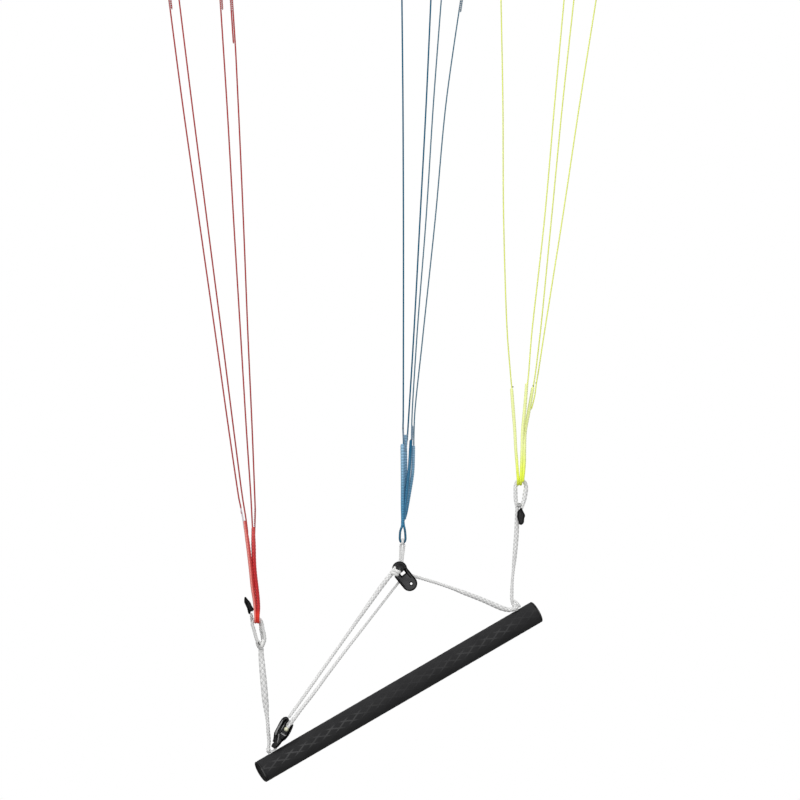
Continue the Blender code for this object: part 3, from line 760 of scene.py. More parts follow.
def spun(name, profile, place, material, rule, sides=72):
    """Spins a profile of (radius, height) in millimetres about Z, then places it."""
    shape = bmesh.new()
    ring = [shape.verts.new((radius * MM, 0, height * MM)) for radius, height in profile]
    edges = [shape.edges.new(pair) for pair in zip(ring, ring[1:])]
    bmesh.ops.spin(
        shape, geom=ring + edges, cent=(0, 0, 0), axis=(0, 0, 1),
        angle=math.tau, steps=sides, use_merge=True,
    )
    bmesh.ops.remove_doubles(shape, verts=shape.verts, dist=0.001 * MM)
    bmesh.ops.transform(shape, matrix=place, verts=shape.verts)
    mesh = to_mesh(name, shape)
    mesh.shade_smooth()
    mesh.set_sharp_from_angle(angle=SHARP)
    paint_sheen(mesh, rule)
    return show(name, mesh, material)


def slab(outline, front, back):
    """A bmesh of an XZ outline between two depths along Y, all in millimetres."""
    shape = bmesh.new()
    face = shape.faces.new([shape.verts.new((x * MM, front * MM, z * MM)) for x, z in outline])
    raised = bmesh.ops.extrude_face_region(shape, geom=[face])["geom"]
    moved = [part for part in raised if isinstance(part, bmesh.types.BMVert)]
    bmesh.ops.translate(shape, verts=moved, vec=(0, (back - front) * MM, 0))
    bmesh.ops.recalc_face_normals(shape, faces=shape.faces)
    return shape


def guide(shape, place):
    """A helper object for one cut."""
    shape.transform(place)
    mesh = to_mesh("guide", shape)
    thing = bpy.data.objects.new("guide", mesh)
    bpy.context.scene.collection.objects.link(thing)
    return thing


def finished(name, body, cutters, material, bevel, angle=35, rule=facing):
    """Cuts a helper with others, bevels its edges, and keeps only the result."""
    for cutter in cutters:
        step = body.modifiers.new("cut", "BOOLEAN")
        step.operation = "DIFFERENCE"
        step.object = cutter
    if bevel:
        edge = body.modifiers.new("edge", "BEVEL")
        edge.width = bevel * MM
        edge.segments = 3
        edge.limit_method = "ANGLE"
        edge.angle_limit = math.radians(angle)
        edge.use_clamp_overlap = True
    seen = body.evaluated_get(bpy.context.evaluated_depsgraph_get())
    mesh = bpy.data.meshes.new_from_object(seen)
    mesh.name = name
    for thing in (body, *cutters):
        bpy.data.objects.remove(thing, do_unlink=True)
    mesh.materials.clear()
    mesh.shade_smooth()
    mesh.set_sharp_from_angle(angle=SHARP)
    paint_sheen(mesh, rule)
    return show(name, mesh, material)


def arc(cx, cz, radius, start, stop, steps):
    """Points on an arc, its angles in degrees."""
    angles = np.radians(np.linspace(start, stop, steps + 1))
    return [(cx + radius * math.cos(a), cz + radius * math.sin(a)) for a in angles]


print("cutting tools ready")

# %% [markdown]
# ## The bar's own directions
# The bar slopes 30 degrees and its left end is turned 13 degrees towards the viewer. Everything on
# it is placed from three directions: along it, up from it, and across it.

# %% Bar directions
BAR_LENGTH = 400.0
BAR_RADIUS = 14.0
BAR_CENTRE = Vector((-5.5, 0, -893))
BAR_SLOPE = math.radians(30)
BAR_YAW = math.radians(13)
EXIT_FROM_END = 22.0
KNOT_RADIUS = 4.2
SEAM = 0.3
CAP_FLANGE = 2.0
ALONG = Vector((
    math.cos(BAR_YAW) * math.cos(BAR_SLOPE), math.sin(BAR_YAW), math.cos(BAR_YAW) * math.sin(BAR_SLOPE),
))
UPWARD = (Vector((0, 0, 1)) - ALONG * ALONG.z).normalized()
ACROSS = UPWARD.cross(ALONG)


def bar_frame(centre, direction):
    """A placement in metres whose Z runs along a direction and whose X is across the bar."""
    turn = Matrix((ACROSS, direction.cross(ACROSS), direction)).transposed().to_4x4()
    return Matrix.Translation(centre * MM) @ turn


def bar_exit(side):
    return BAR_CENTRE + ALONG * (side * (BAR_LENGTH / 2 - EXIT_FROM_END)) + UPWARD * BAR_RADIUS


def knot_centre(side):
    return bar_exit(side) + UPWARD * (KNOT_RADIUS + SEAM)


print("bar runs along", tuple(round(part, 3) for part in ALONG))

# %% [markdown]
# ## The foam grip and its raised net
# The grip is moulded with a net of thin ribs that makes diamonds nearly 20 mm long. A bump map
# would not change its outline, and ribs on an ordinary grid look like stairs, because they cross
# it at a slant. So the flat grid is made with its own lines along the ribs, cut to the grip's
# length and girth while it is flat, and only then rolled.

# %% Foam grip
NET_FIRST = 21.8
NET_LONGEST = 19.88
NET_SHRINK = 0.063
NET_HEIGHT = 0.28
NET_STOPS = (0.0, 0.035, 0.075, 0.115, 0.2, 0.5, 0.8, 0.885, 0.925, 0.965)
FOAM_SUNK = 0.12
RIM_DROP = 0.5
RIM_REACH = 1.2
NET_FADE = 2.0
BORE_RADIUS = 10.8
DRILL_RADIUS = 2.4
DRILL_DEPTH = 12


def net_far(number):
    """Where a diamond of the net starts, from the bar's left end; the foam is drawn out at the left."""
    step = number - 0.5
    return NET_FIRST + NET_LONGEST * step - NET_SHRINK * step**2


def net_number(far):
    root = math.sqrt(NET_LONGEST**2 - 4 * NET_SHRINK * (far - NET_FIRST))
    return 0.5 + (NET_LONGEST - root) / (2 * NET_SHRINK)


def net_sheet(start, end):
    """A flat sheet, 0 to 1 wide and some turns long, its lines along the ribs."""
    cells = math.ceil(NET_AROUND * (1 + end - start)) + 3
    per_cell = len(NET_STOPS)
    sheet = bmesh.new()
    bmesh.ops.create_grid(sheet, x_segments=cells * per_cell, y_segments=cells * per_cell, size=0.5)
    lows = math.floor(-NET_AROUND * end) - 1, math.floor(NET_AROUND * start) - 1
    for vert in sheet.verts:
        numbers = []
        for flat, low in zip(vert.co.xy, lows):
            whole, part = divmod(round((flat + 0.5) * cells * per_cell), per_cell)
            numbers.append(low + whole + NET_STOPS[part])
        first, second = numbers
        vert.co = ((first + second) / (2 * NET_AROUND), (second - first) / (2 * NET_AROUND), 0)
    for axis, limit, outward in ((0, 0, -1), (0, 1, 1), (1, start, -1), (1, end, 1)):
        spot, way = [0, 0, 0], [0, 0, 0]
        spot[axis], way[axis] = limit, outward
        bmesh.ops.bisect_plane(
            sheet, geom=sheet.verts[:] + sheet.edges[:] + sheet.faces[:], dist=1e-6,
            plane_co=spot, plane_no=way, clear_outer=True,
        )
    return sheet


def rib_height(around, turns):
    """How far the net stands up, in millimetres: most in the bands at front and back."""
    parts = []
    for number in (NET_AROUND * (around - turns), NET_AROUND * (around + turns)):
        part = number - math.floor(number)
        parts.append(min(part, 1 - part) * NET_CELL_WIDTH)
    near = min(min(parts) / NET_RIB, 1.0)
    low, high = NET_BAND
    band = min(max((math.cos(4 * math.pi * (around - NET_FACING)) - low) / (high - low), 0.0), 1.0)
    return NET_HEIGHT * (0.3 + 0.7 * band) * (0.5 + 0.5 * math.cos(math.pi * near))


def make_grip():
    """The net's sheet rolled into the grip, its ends softened, bored out and drilled for the ropes."""
    first = CAP_FLANGE + SEAM
    last = BAR_LENGTH - first
    sheet = net_sheet(net_number(first) / NET_AROUND, net_number(last) / NET_AROUND)
    layer = sheet.loops.layers.uv.new("UVMap")
    for face in sheet.faces:
        for corner in face.loops:
            corner[layer].uv = corner.vert.co.xy
    for vert in sheet.verts:
        around, turns = vert.co.x, vert.co.y
        far = net_far(turns * NET_AROUND)
        edge = min(far - first, last - far)
        rim = RIM_DROP * (1 - min(edge / RIM_REACH, 1.0)) ** 2
        radius = BAR_RADIUS - FOAM_SUNK - rim + rib_height(around, turns) * min(edge / NET_FADE, 1.0)
        angle = math.tau * around
        vert.co = (radius * math.cos(angle) * MM, radius * math.sin(angle) * MM, far * MM)
    bmesh.ops.remove_doubles(sheet, verts=sheet.verts, dist=0.01 * MM)
    rims = [edge for edge in sheet.edges if edge.is_boundary]
    walls = bmesh.ops.extrude_edge_only(sheet, edges=rims)["geom"]
    ends = [part for part in walls if isinstance(part, bmesh.types.BMVert)]
    for vert in ends:
        flat = Vector((vert.co.x, vert.co.y)).normalized() * BORE_RADIUS * MM
        vert.co.x, vert.co.y = flat
    bores = [edge for edge in sheet.edges if edge.is_boundary]
    bmesh.ops.bridge_loops(sheet, edges=bores)
    bmesh.ops.recalc_face_normals(sheet, faces=sheet.faces)
    start = BAR_CENTRE - ALONG * (BAR_LENGTH / 2)
    body = guide(sheet, bar_frame(start, ALONG))
    drills = []
    for side in (-1, 1):
        drill = bmesh.new()
        bmesh.ops.create_cone(
            drill, cap_ends=True, segments=24, depth=DRILL_DEPTH * MM,
            radius1=DRILL_RADIUS * MM, radius2=DRILL_RADIUS * MM,
        )
        drills.append(guide(drill, bar_frame(bar_exit(side), UPWARD)))
    grip = finished("foam_grip", body, drills, foam, bevel=0)
    return settle(grip, "bar", "grip", "bar_grip")


grip = make_grip()
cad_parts["bar_tube"].data.materials.clear()
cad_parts["bar_tube"].data.materials.append(drawn_tube)
print("grip:", triangles(grip), "triangles")

# %% [markdown]
# ## End caps
# Each end is closed by a turned plastic plug with a dished face. Its rim is rounded over, and the
# part of the rim nearest the viewer is painted pale, a painted highlight, which makes the crescent at
# the left end; its side is painted a little paler too. The face itself is nearly black.

# %% End caps
RIM_ROUNDS = {"left": 1.6, "right": 2.6}
RIM_NEAR = 0.85
SIDE_SHEEN = 0.3
FACE_DISH = 0.9
DISH_EDGE = ((1.4, 0.8), (0.6, 0.2))
FLANGE_EDGE = ((0, 0.3), (0.4, 0))
PLUG_RADIUS = 8.7
PLUG_LENGTH = 14.0
PLUG_BEVEL = 0.6


def make_cap(word, side):
    """Its profile runs over the dished face, the rounded rim and the flange, down to the plug."""
    face = BAR_CENTRE + ALONG * (side * BAR_LENGTH / 2)
    rim = RIM_ROUNDS[word]
    flat = BAR_RADIUS - rim

    def rounding(middle, normal):
        """The rim is painted pale nearest the viewer, a painted highlight; its side is a little paler."""
        outward = (middle - face).cross(ALONG).length
        if outward < flat:
            return 0.0
        tilt = abs(normal.dot(ALONG))
        if tilt < 0.5:
            return SIDE_SHEEN
        near = -(middle - face).normalized().dot(ACROSS)
        return min(max((near - RIM_NEAR) * 10, 0.0), 1.0) * (tilt < 0.97)

    profile = [(0, FACE_DISH)] + [(flat - inward, depth) for inward, depth in DISH_EDGE]
    profile += [(flat + rim * x, CAP_FLANGE * 0.8 * (1 - z)) for x, z in arc(0, 0, 1, 88, 0, 6)]
    profile += [(BAR_RADIUS - inward, CAP_FLANGE - above) for inward, above in FLANGE_EDGE]
    profile += [(PLUG_RADIUS, CAP_FLANGE), (PLUG_RADIUS, PLUG_LENGTH - PLUG_BEVEL)]
    profile += [(PLUG_RADIUS - PLUG_BEVEL, PLUG_LENGTH), (0, PLUG_LENGTH)]
    cap = spun("cap_" + word, profile, bar_frame(face, ALONG * -side), cap_plastic, rounding)
    return settle(cap, "bar", "cap", "end_cap_" + word)


for word, side in (("left", -1), ("right", 1)):
    cap = make_cap(word, side)
    print(cap.name, triangles(cap), "triangles")

# %% [markdown]
# ## Exit knots
# The harness ropes enter the bar through a hole near each end and end in a knot. The CAD has a
# ball on a stem there, so that they may turn. On the real thing it is a rope that comes up out of
# the hole and is wound round itself, so the route climbs through the hole and makes a turn and a
# half inside the ball's outline before it tucks in.

# %% Exit knots
KNOT_REACH = {"left": 1.3, "right": 1.9}
STEM_DEPTH = 5.4
STEM = [(0, 0, -6.6, 1.8), (0.3, 0.2, -4.0, 1.85), (1.4, 0.6, -2.6, 1.9)]
TUCK = [(0.8, -0.5, 2.2, 1.7), (-0.4, 0.3, 2.4, 1.5)]


def make_exit_knot(word, side):
    place = bar_frame(knot_centre(side), UPWARD)
    knots = [(0, 0, -(KNOT_RADIUS + SEAM) - STEM_DEPTH, 1.7)] + STEM
    knots += coil((0, 0, -2.0), (0, 0, 1), KNOT_REACH[word], 1.7, 2.4, 30, 560, 11) + TUCK
    moved = [(*(place @ (Vector(knot[:3]) * MM) / MM), knot[3]) for knot in knots]
    return settle(rope("knot_" + word, moved), "bar", "rope", "exit_knot_" + word)


for word, side in (("left", -1), ("right", 1)):
    knot = make_exit_knot(word, side)
    print(knot.name, triangles(knot), "triangles")

# %% [markdown]
# ## Leaders and their soft loops
# A white leader climbs from each end of the bar to the side lines. At its top it makes a soft
# loop: it goes round, comes back down and is worked into itself at the neck. The route was read
# off the photo, and lies within a few millimetres of the CAD's. The left loop's right leg is
# doubled in the photo, and a short strand wraps each neck.

# %% Leaders
LINK_LEFT = Vector((-176.8, -42, -802.2))
LINK_RIGHT = Vector((143.3, 34, -632.7))
LINK_FRONT = LINK_LEFT.lerp(LINK_RIGHT, -LINK_LEFT.x / (LINK_RIGHT.x - LINK_LEFT.x))


def from_base(base, knots):
    """Knots given in millimetres from a base point."""
    return [(base.x + x, base.y + y, base.z + z, radius) for x, y, z, radius in knots]


def leader_route(side, link, foot, top, run, rising, falling):
    """Top is (across, down, half width, radius) of the loop's upper bend."""
    across, drop, half, radius = top
    over = [(across + x, 0, z - drop, radius) for x, z in arc(0, -half, half, 180, 0, 4)]
    return [(*(knot_centre(side) + Vector(foot)), 1.7)] + from_base(link, run + rising + over + falling)


LEFT_TOP = (-1.5, 1.2, 5.9, 2.0)
RIGHT_TOP = (-0.1, 2.8, 6.2, 2.3)
LEFT_RUN = [
    (13.0, 3.8, -152, 2.1), (12.0, 4.2, -138, 2.2), (11.2, 4.0, -126, 2.1), (10.5, 3.6, -119.5, 2.3),
    (9.8, 3.2, -112.4, 3.0), (9.0, 2.6, -105, 3.7), (8.0, 1.4, -95, 4.0), (6.3, 1.1, -76, 4.0),
    (4.6, 0.6, -58, 3.7), (3.5, 0.3, -45, 3.3), (3.1, 0, -36.5, 3.0), (1.4, 0, -31.5, 2.3),
]
LEFT_RISING = [(-1.7, 0, -27, 2.0), (-3.9, 0, -19.8, 2.0), (-6.0, 0, -12, 2.0)]
LEFT_FALLING = [
    (6.0, 0, -14.5, 1.8), (7.5, 0, -21, 1.8), (7.9, 0, -27, 1.8), (6.4, 0, -32, 1.8), (4.6, 0, -36, 1.7),
]
RIGHT_RUN = [
    (-11.0, 2.6, -148, 2.0), (-11.0, 2.6, -139, 2.1), (-10.6, 2.6, -128, 1.8), (-10.0, 2.5, -120, 1.7),
    (-9.3, 2.4, -113, 1.8), (-8.5, 2.2, -105, 2.2), (-7.7, 2.0, -97, 2.6), (-6.6, 1.8, -84, 2.8),
    (-5.5, 1.3, -70, 2.9), (-4.6, 0.4, -46, 2.7), (-4.6, 0, -35, 2.3),
]
RIGHT_RISING = [(-6.2, 0, -26, 2.4), (-6.5, 0, -17, 2.4)]
RIGHT_FALLING = [
    (6.1, 0, -14, 2.7), (5.1, -0.2, -20, 2.8), (4.0, -0.6, -26, 2.7), (2.6, -1.6, -31, 2.3),
    (1.6, -3.2, -35, 1.8), (0.5, -4.4, -38, 1.5),
]

left_route = leader_route(-1, LINK_LEFT, (0, 2.2, 2.2), LEFT_TOP, LEFT_RUN, LEFT_RISING, LEFT_FALLING)
right_route = leader_route(1, LINK_RIGHT, (-2.2, 1.6, 2.4), RIGHT_TOP, RIGHT_RUN, RIGHT_RISING, RIGHT_FALLING)
settle(rope("white_leader_left", left_route, looped_rope), "left_leader", "rope", "leader_left")
settle(rope("white_leader_right", right_route), "right_leader", "rope", "leader_right")
for word, route in (("left", left_route), ("right", right_route)):
    print("leader", word, round(run_along(fine_route(route)[0])[-1]), "mm long")

# %% Doubled leg and neck wraps
DOUBLED_LEG = [
    (1.6, 2.4, -4.7, 1.4), (2.6, 1.8, -9.5, 1.6), (2.9, 1.0, -15, 1.6), (4.1, 0.5, -20.5, 1.6),
    (4.9, 0.0, -27, 1.6), (4.4, -0.6, -31, 1.5), (2.8, -0.9, -34, 1.3),
]
NECK_NUB = [
    (6.4, -0.6, -26.5, 1.3), (5.6, -2.6, -29.6, 1.6), (4.8, -3.6, -32.8, 1.8), (4.2, -3.0, -36.0, 1.5),
]
NECK_WRAP_LEFT = [
    (-2.2, -0.2, -29.0, 1.1), (-1.4, -2.0, -33.0, 1.3), (0.4, -3.4, -36.0, 1.3), (2.8, -3.8, -37.6, 1.2),
    (4.8, -2.8, -38.0, 0.9),
]
NECK_WRAP_RIGHT = coil((-0.8, -0.6, -35.0), (-0.12, 0, 1), 3.4, 1.4, 2.7, 200, 760, 14)
FOOT_STRAND_RIGHT = [
    (-1.9, -0.4, 8.6, 1.2), (0.2, -1.2, 7.2, 1.5), (2.8, -1.4, 4.6, 1.7), (5.0, -1.0, 2.0, 1.7),
    (6.6, -0.4, 0.0, 1.4),
]
FOOT_STRAND_LEFT = [
    (1.9, -4.6, -1.4, 1.0), (5.0, -4.2, -0.2, 1.1), (8.0, -3.6, 1.2, 1.1), (10.4, -2.6, 2.6, 0.9),
]
for name, base, knots, body, material in (
    ("doubled_leg", LINK_LEFT, DOUBLED_LEG, "left_leader", shaded_rope),
    ("neck_nub", LINK_LEFT, NECK_NUB, "left_leader", lit_rope),
    ("neck_wrap_left", LINK_LEFT, NECK_WRAP_LEFT, "left_leader", shaded_rope),
    ("neck_wrap_right", LINK_RIGHT, NECK_WRAP_RIGHT, "right_leader", shaded_rope),
    ("foot_strand_left", knot_centre(-1), FOOT_STRAND_LEFT, "harness", white_rope),
    ("foot_strand_right", knot_centre(1), FOOT_STRAND_RIGHT, "right_leader", white_rope),
):
    piece = settle(rope(name, from_base(base, knots), material), body, "rope")
    print(name, triangles(piece), "triangles")
NECK_STITCH = [(0.2, -3.6, -29.0, 0.5), (0.9, -4.4, -32.0, 0.6), (2.3, -4.6, -33.6, 0.5)]
settle(roll("neck_stitch", from_base(LINK_LEFT, NECK_STITCH), dark_thread, rows=8), "left_leader", "rope")

# %% [markdown]
# ## Pull tabs
# A black rubber tab sits at each soft loop. It is a tapered flat with a crimped neck and a low
# ridge down each face. It is raised from its outline, the faces are inset, and the inset is lifted
# to make the ridge. The left one stands up beside its loop, and the right one hangs below its own.

# %% Pull tabs
TAB_DEPTH = 3.4
TAB_INSETS = ((0.6, 0.0), (0.9, -0.6), (0.5, 0.6))
TAB_SHAPES = {
    "left": [
        (-0.4, 0), (0.6, 0), (2.2, 2.6), (4.6, 2.4), (5.9, 3.4), (6.4, 5.4), (5.6, 7.4), (4.9, 9.6),
        (4.4, 13.2), (3.6, 15.2), (2.0, 18.0), (0.5, 21.2), (-0.5, 21.6), (-1.7, 19.0), (-2.6, 15.0),
        (-1.9, 12.4), (-0.9, 7.6), (-0.9, 2.2),
    ],
    "right": [
        (-0.8, -0.6), (0.8, -0.6), (2.8, 2.2), (4.2, 4.0), (4.6, 7.0), (4.4, 12.4), (3.2, 15.8), (1.8, 19.6),
        (-0.6, 20.4), (-2.8, 19.0), (-4.0, 16.6), (-4.2, 12.0), (-5.2, 9.4), (-4.8, 7.2), (-2.6, 3.0),
    ],
}
TAB_PLACES = {
    "left": (LINK_LEFT + Vector((-10.8, -0.6, 4.4)), 13.6, 12),
    "right": (LINK_RIGHT + Vector((0.2, -5.6, -36.8)), 179, 0),
}


def make_tab(word, root, lean, twist):
    """Raised from its outline; each face is inset three times, down and up again to the ridge."""
    shape = slab(TAB_SHAPES[word], -TAB_DEPTH / 2, TAB_DEPTH / 2)
    flats = [face for face in shape.faces if abs(face.normal.y) > 0.9]
    for width, lift in TAB_INSETS:
        for face in flats:
            bmesh.ops.inset_region(shape, faces=[face], thickness=width * MM, depth=lift * MM)
    turn = Matrix.Rotation(math.radians(-lean), 4, "Y") @ Matrix.Rotation(math.radians(twist), 4, "Z")
    helper = guide(shape, Matrix.Translation(root * MM) @ turn)
    tab = finished("tab_" + word, helper, [], tab_rubber, bevel=0.35, angle=25)
    return settle(tab, word + "_leader", "tab", "pull_tab_" + word)


for word, (root, lean, twist) in TAB_PLACES.items():
    tab = make_tab(word, root, lean, twist)
    print(tab.name, triangles(tab), "triangles")
TAB_CORD = [(-7.6, 0, -6.0, 1.5), (-8.0, -0.4, -1.6, 1.8), (-8.3, -0.8, 2.4, 1.8), (-9.0, -0.6, 5.6, 1.4)]
tie = rope("tab_tie", from_base(LINK_LEFT, TAB_CORD), shaded_rope, fine=2)
settle(tie, "left_leader", "rope", "tab_cord_left")

# %% [markdown]
# ## Strop, adjuster and V
# The front lines hold a doubled strop, and the strop holds the adjuster: a domed black head and a
# notched plate below it. The harness ropes pass through the head and run to both ends of the bar
# as a V. The head, the plate and the cleat are the only hard shapes between the lines and the bar,
# so they get grooves, a rim and a recess, cut as in the moulding.

# %% Strop
STROP_RADIUS = 1.45
FRONT_LOOP_RADIUS = 1.35
FRONT_LOOP_HALF = 3.4
FRONT_LOOP_LOW = LINK_FRONT + Vector((-1.05, 0, -2.2))
STROP_PLAY = 0.8
STROP_SWAY = 2.2
STROP_TURNS = ((0.12, 0.45), (0.3, 0.72), (0.6, 0.9), (1.0, 1.0))
HEAD_CENTRE = Vector((-3.0, 0, -743))
HEAD_RADIUS = 8.5


def strop_route():
    """Two legs that leave the loop one behind the other and come down side by side to the head."""
    reach = FRONT_LOOP_RADIUS + STROP_PLAY + STROP_RADIUS
    sway = 1 + STROP_SWAY / reach
    foot = STROP_RADIUS - 0.05
    head = HEAD_CENTRE + Vector((0, 0, HEAD_RADIUS - 0.6))
    legs = []
    for side in (-1, 1):
        leg = []
        for share, turned in STROP_TURNS:
            turn = math.radians(90 * (1 - min(turned * 1.2, 1.0)))
            apart = side * (reach + (foot - reach) * turned)
            spot = FRONT_LOOP_LOW.lerp(head, share)
            spot += Vector((apart * math.cos(turn), sway * apart * math.sin(turn), 0))
            leg.append((*spot, STROP_RADIUS))
        legs.append(leg)
    over = [
        (FRONT_LOOP_LOW.x, FRONT_LOOP_LOW.y + sway * y, FRONT_LOOP_LOW.z + z, STROP_RADIUS)
        for y, z in arc(0, 0, reach, 180, 0, 4)
    ]
    return legs[0][::-1] + over + legs[1]


strop = settle(rope("white_strop", strop_route()), "strop", "rope", "front_strop")
print("strop", triangles(strop), "triangles")

# %% Adjuster head
HEAD_DEPTH = 9.0
HEAD_CUT = 4.7
HEAD_WIDER = 1.076
HEAD_ASIDE = -1.75
HEAD_RIM = 1.02
FOLDS = ((5.6, 0.7, 1.0), (3.0, 0.6, 0.8))
FOLD_DEPTH = 0.2
PLATE_SLOPE = math.radians(51.3)


def make_head():
    """A flattened ball, cut off on the plate's side, with two folds over its face."""
    ball = bmesh.new()
    bmesh.ops.create_uvsphere(ball, u_segments=72, v_segments=40, radius=1.0)
    bmesh.ops.rotate(ball, verts=ball.verts, matrix=Matrix.Rotation(math.radians(90), 3, "X"))
    for vert in ball.verts:
        flat = Vector((vert.co.x, 0, vert.co.z))
        rim = flat.length
        width = HEAD_RADIUS * min(1.0, rim * HEAD_RIM)
        spot = flat.normalized() * width if rim > 1e-6 else flat
        deep = math.copysign((1 - rim**3) ** 0.5 if rim < 1 else 0.0, vert.co.y) * HEAD_DEPTH / 2
        fold = sum(share * math.exp(-((spot.length - far) / wide) ** 2) for far, wide, share in FOLDS)
        deep *= 1 - FOLD_DEPTH * fold
        vert.co = Vector((spot.x, deep, spot.z)) * MM
    away = Vector((math.cos(PLATE_SLOPE), 0, -math.sin(PLATE_SLOPE)))
    bmesh.ops.bisect_plane(
        ball, geom=ball.verts[:] + ball.edges[:] + ball.faces[:], dist=1e-7,
        plane_co=away * HEAD_CUT * MM, plane_no=away, clear_outer=True,
    )
    bmesh.ops.holes_fill(ball, edges=[edge for edge in ball.edges if edge.is_boundary])
    place = Matrix.Translation((HEAD_CENTRE + Vector((HEAD_ASIDE, 0, 0))) * MM)
    helper = guide(ball, place @ Matrix.Diagonal((HEAD_WIDER, 1, HEAD_WIDER, 1)))
    head = finished("head_dome", helper, [], dome_plastic, bevel=0.25, angle=60)
    return settle(head, "harness", "fitting", "adjuster_head")


head = make_head()
print("head", triangles(head), "triangles")

# %% Adjuster plate
PLATE_TOP = Vector((-2.7, -1.5, -746.0))
PLATE_END = 18.0
PLATE_HALF = 9.4
PLATE_MIDDLE = -1.4
PLATE_DEPTH = 4.5
PLATE_HOLE = 1.5
HOLE_FAR = 19.4
NOTCH_HALF = 2.9
NOTCH_DEPTH = 4.9
PLATE_RIM = 1.7
PLATE_RECESS = 0.55
SEAT_WIDER = 1.0
SEAT_DEPTH = 0.95
SLOT_DEPTH = 1.3
PLATE_SLOT = [(7.8, 3.1), (13.8, 4.0), (14.0, 5.1), (7.6, 4.4)]
PLATE_STEP = [(4.6, -8.7), (18.0, -8.7), (18.0, -8.0), (4.6, -8.0)]
PLATE_SHADOW = [(1.0, 3.2), (6.6, 3.2), (8.0, 4.6), (1.0, 5.6)]


def recess_floor(middle, normal):
    """Only the recess floor of the plate is painted paler, a painted sheen; its rim stays black."""
    level = PLATE_DEPTH / 2 - PLATE_RECESS
    return float(abs(abs(middle.y - PLATE_TOP.y) - level) < 0.08)


def plate_outline(shrink):
    """The plate's outline in its own plane, drawn in by some millimetres."""
    half = PLATE_HALF - shrink
    notch, low = NOTCH_HALF + shrink, NOTCH_DEPTH + shrink
    outline = [(shrink, -notch), (shrink, PLATE_MIDDLE - half)]
    outline += arc(PLATE_END, PLATE_MIDDLE, half, -90, 90, 28)
    return outline + [(shrink, PLATE_MIDDLE + half), (shrink, notch), (low, notch), (low, -notch)]


def make_plate():
    """Cut with a recess on both faces, a hole in a round seat, a slot and a step at its edge."""
    front = -PLATE_DEPTH / 2
    place = Matrix.Translation(PLATE_TOP * MM) @ Matrix.Rotation(PLATE_SLOPE, 4, "Y")
    body = guide(slab(plate_outline(0), front, -front), place)
    cutters = [
        slab(plate_outline(PLATE_RIM), front - CLEAR, front + PLATE_RECESS),
        slab(plate_outline(PLATE_RIM), -front - PLATE_RECESS, -front + CLEAR),
        slab(arc(HOLE_FAR, 0, PLATE_HOLE, 0, 345, 23), -5, 5),
        slab(arc(HOLE_FAR, 0, PLATE_HOLE + SEAT_WIDER, 0, 350, 35), front - CLEAR, front + SEAT_DEPTH),
        slab(PLATE_SLOT, front - CLEAR, front + SLOT_DEPTH),
        slab(PLATE_STEP, front - CLEAR, front + SEAT_DEPTH),
    ]
    tools = [guide(shape, place) for shape in cutters]
    # Painted shadow: a thin black piece beside the notch stands for the shadow there.
    ridge = slab(PLATE_SHADOW, front - 0.2, front + 0.6)
    settle(finished("plate_shadow", guide(ridge, place), [], shade_rubber, 0.2), "harness", "fitting")
    plate = finished("notched_plate", body, tools, plate_plastic, 0.22, rule=recess_floor)
    return settle(plate, "harness", "fitting", "adjuster_plate")


plate = make_plate()
print("plate", triangles(plate), "triangles")

# %% V ropes
V_RIGHT = [
    (4.5, 3.0, -749.6, 1.9), (14, 3.6, -752.4, 1.9), (25.6, 5.6, -755.8, 1.9), (50, 10.4, -763.5, 1.9),
    (62, 13, -767.8, 2.1), (74, 16, -772.4, 2.7), (98.8, 23.7, -782.1, 2.9), (111, 27.3, -787.5, 3.2),
    (121, 29.6, -791.6, 3.1),
]
V_LEFT_UPPER = [
    (-11.5, -7.4, -747.0, 2.3), (-16.2, -8.0, -751.0, 2.8), (-24.4, -10.0, -761.2, 2.9),
    (-38.6, -14.4, -780.9, 2.6), (-59.4, -20.4, -810.2, 2.1), (-80.0, -26.6, -839.4, 1.8),
    (-100.9, -33.0, -868.8, 1.9), (-121.4, -39.2, -898.0, 2.0), (-131.7, -42.0, -912.4, 1.9),
    (-139.6, -44.0, -923.6, 1.7),
]
V_LEFT_LOWER = [
    (-2.2, 2.7, -755.0, 1.4), (-10.5, 1.0, -765.5, 1.4), (-22.6, -4.2, -781.0, 1.4),
    (-45.3, -13.4, -810.2, 1.5), (-68.3, -21.6, -839.5, 1.7), (-90.5, -29.6, -868.8, 1.8),
    (-112.2, -38.0, -898.0, 2.0), (-124.0, -42.6, -912.8, 2.1), (-133.2, -45.8, -925.0, 2.4),
    (-138.6, -46.4, -932.4, 2.5), (-141.8, -46.6, -937.0, 2.2),
]
V_RIGHT_FOOT = knot_centre(1) + Vector((0, -2.5, 0))
V_RIGHT += from_base(V_RIGHT_FOOT, [
    (-6.4, -3.4, -3.2, 2.8), (-2.0, -4.4, -2.6, 2.5), (1.6, -3.6, -1.0, 2.1), (4.2, -1.6, 0.6, 1.6),
])
for name, knots, node in (
    ("v_right", V_RIGHT, "v_rope_right"),
    ("v_left_thick", V_LEFT_UPPER, "v_rope_left_upper"),
    ("v_left_thin", V_LEFT_LOWER, "v_rope_left_lower"),
):
    piece = settle(rope(name, knots), "harness", "rope", node)
    print(name, round(run_along(fine_route(knots)[0])[-1]), "mm,", triangles(piece), "triangles")

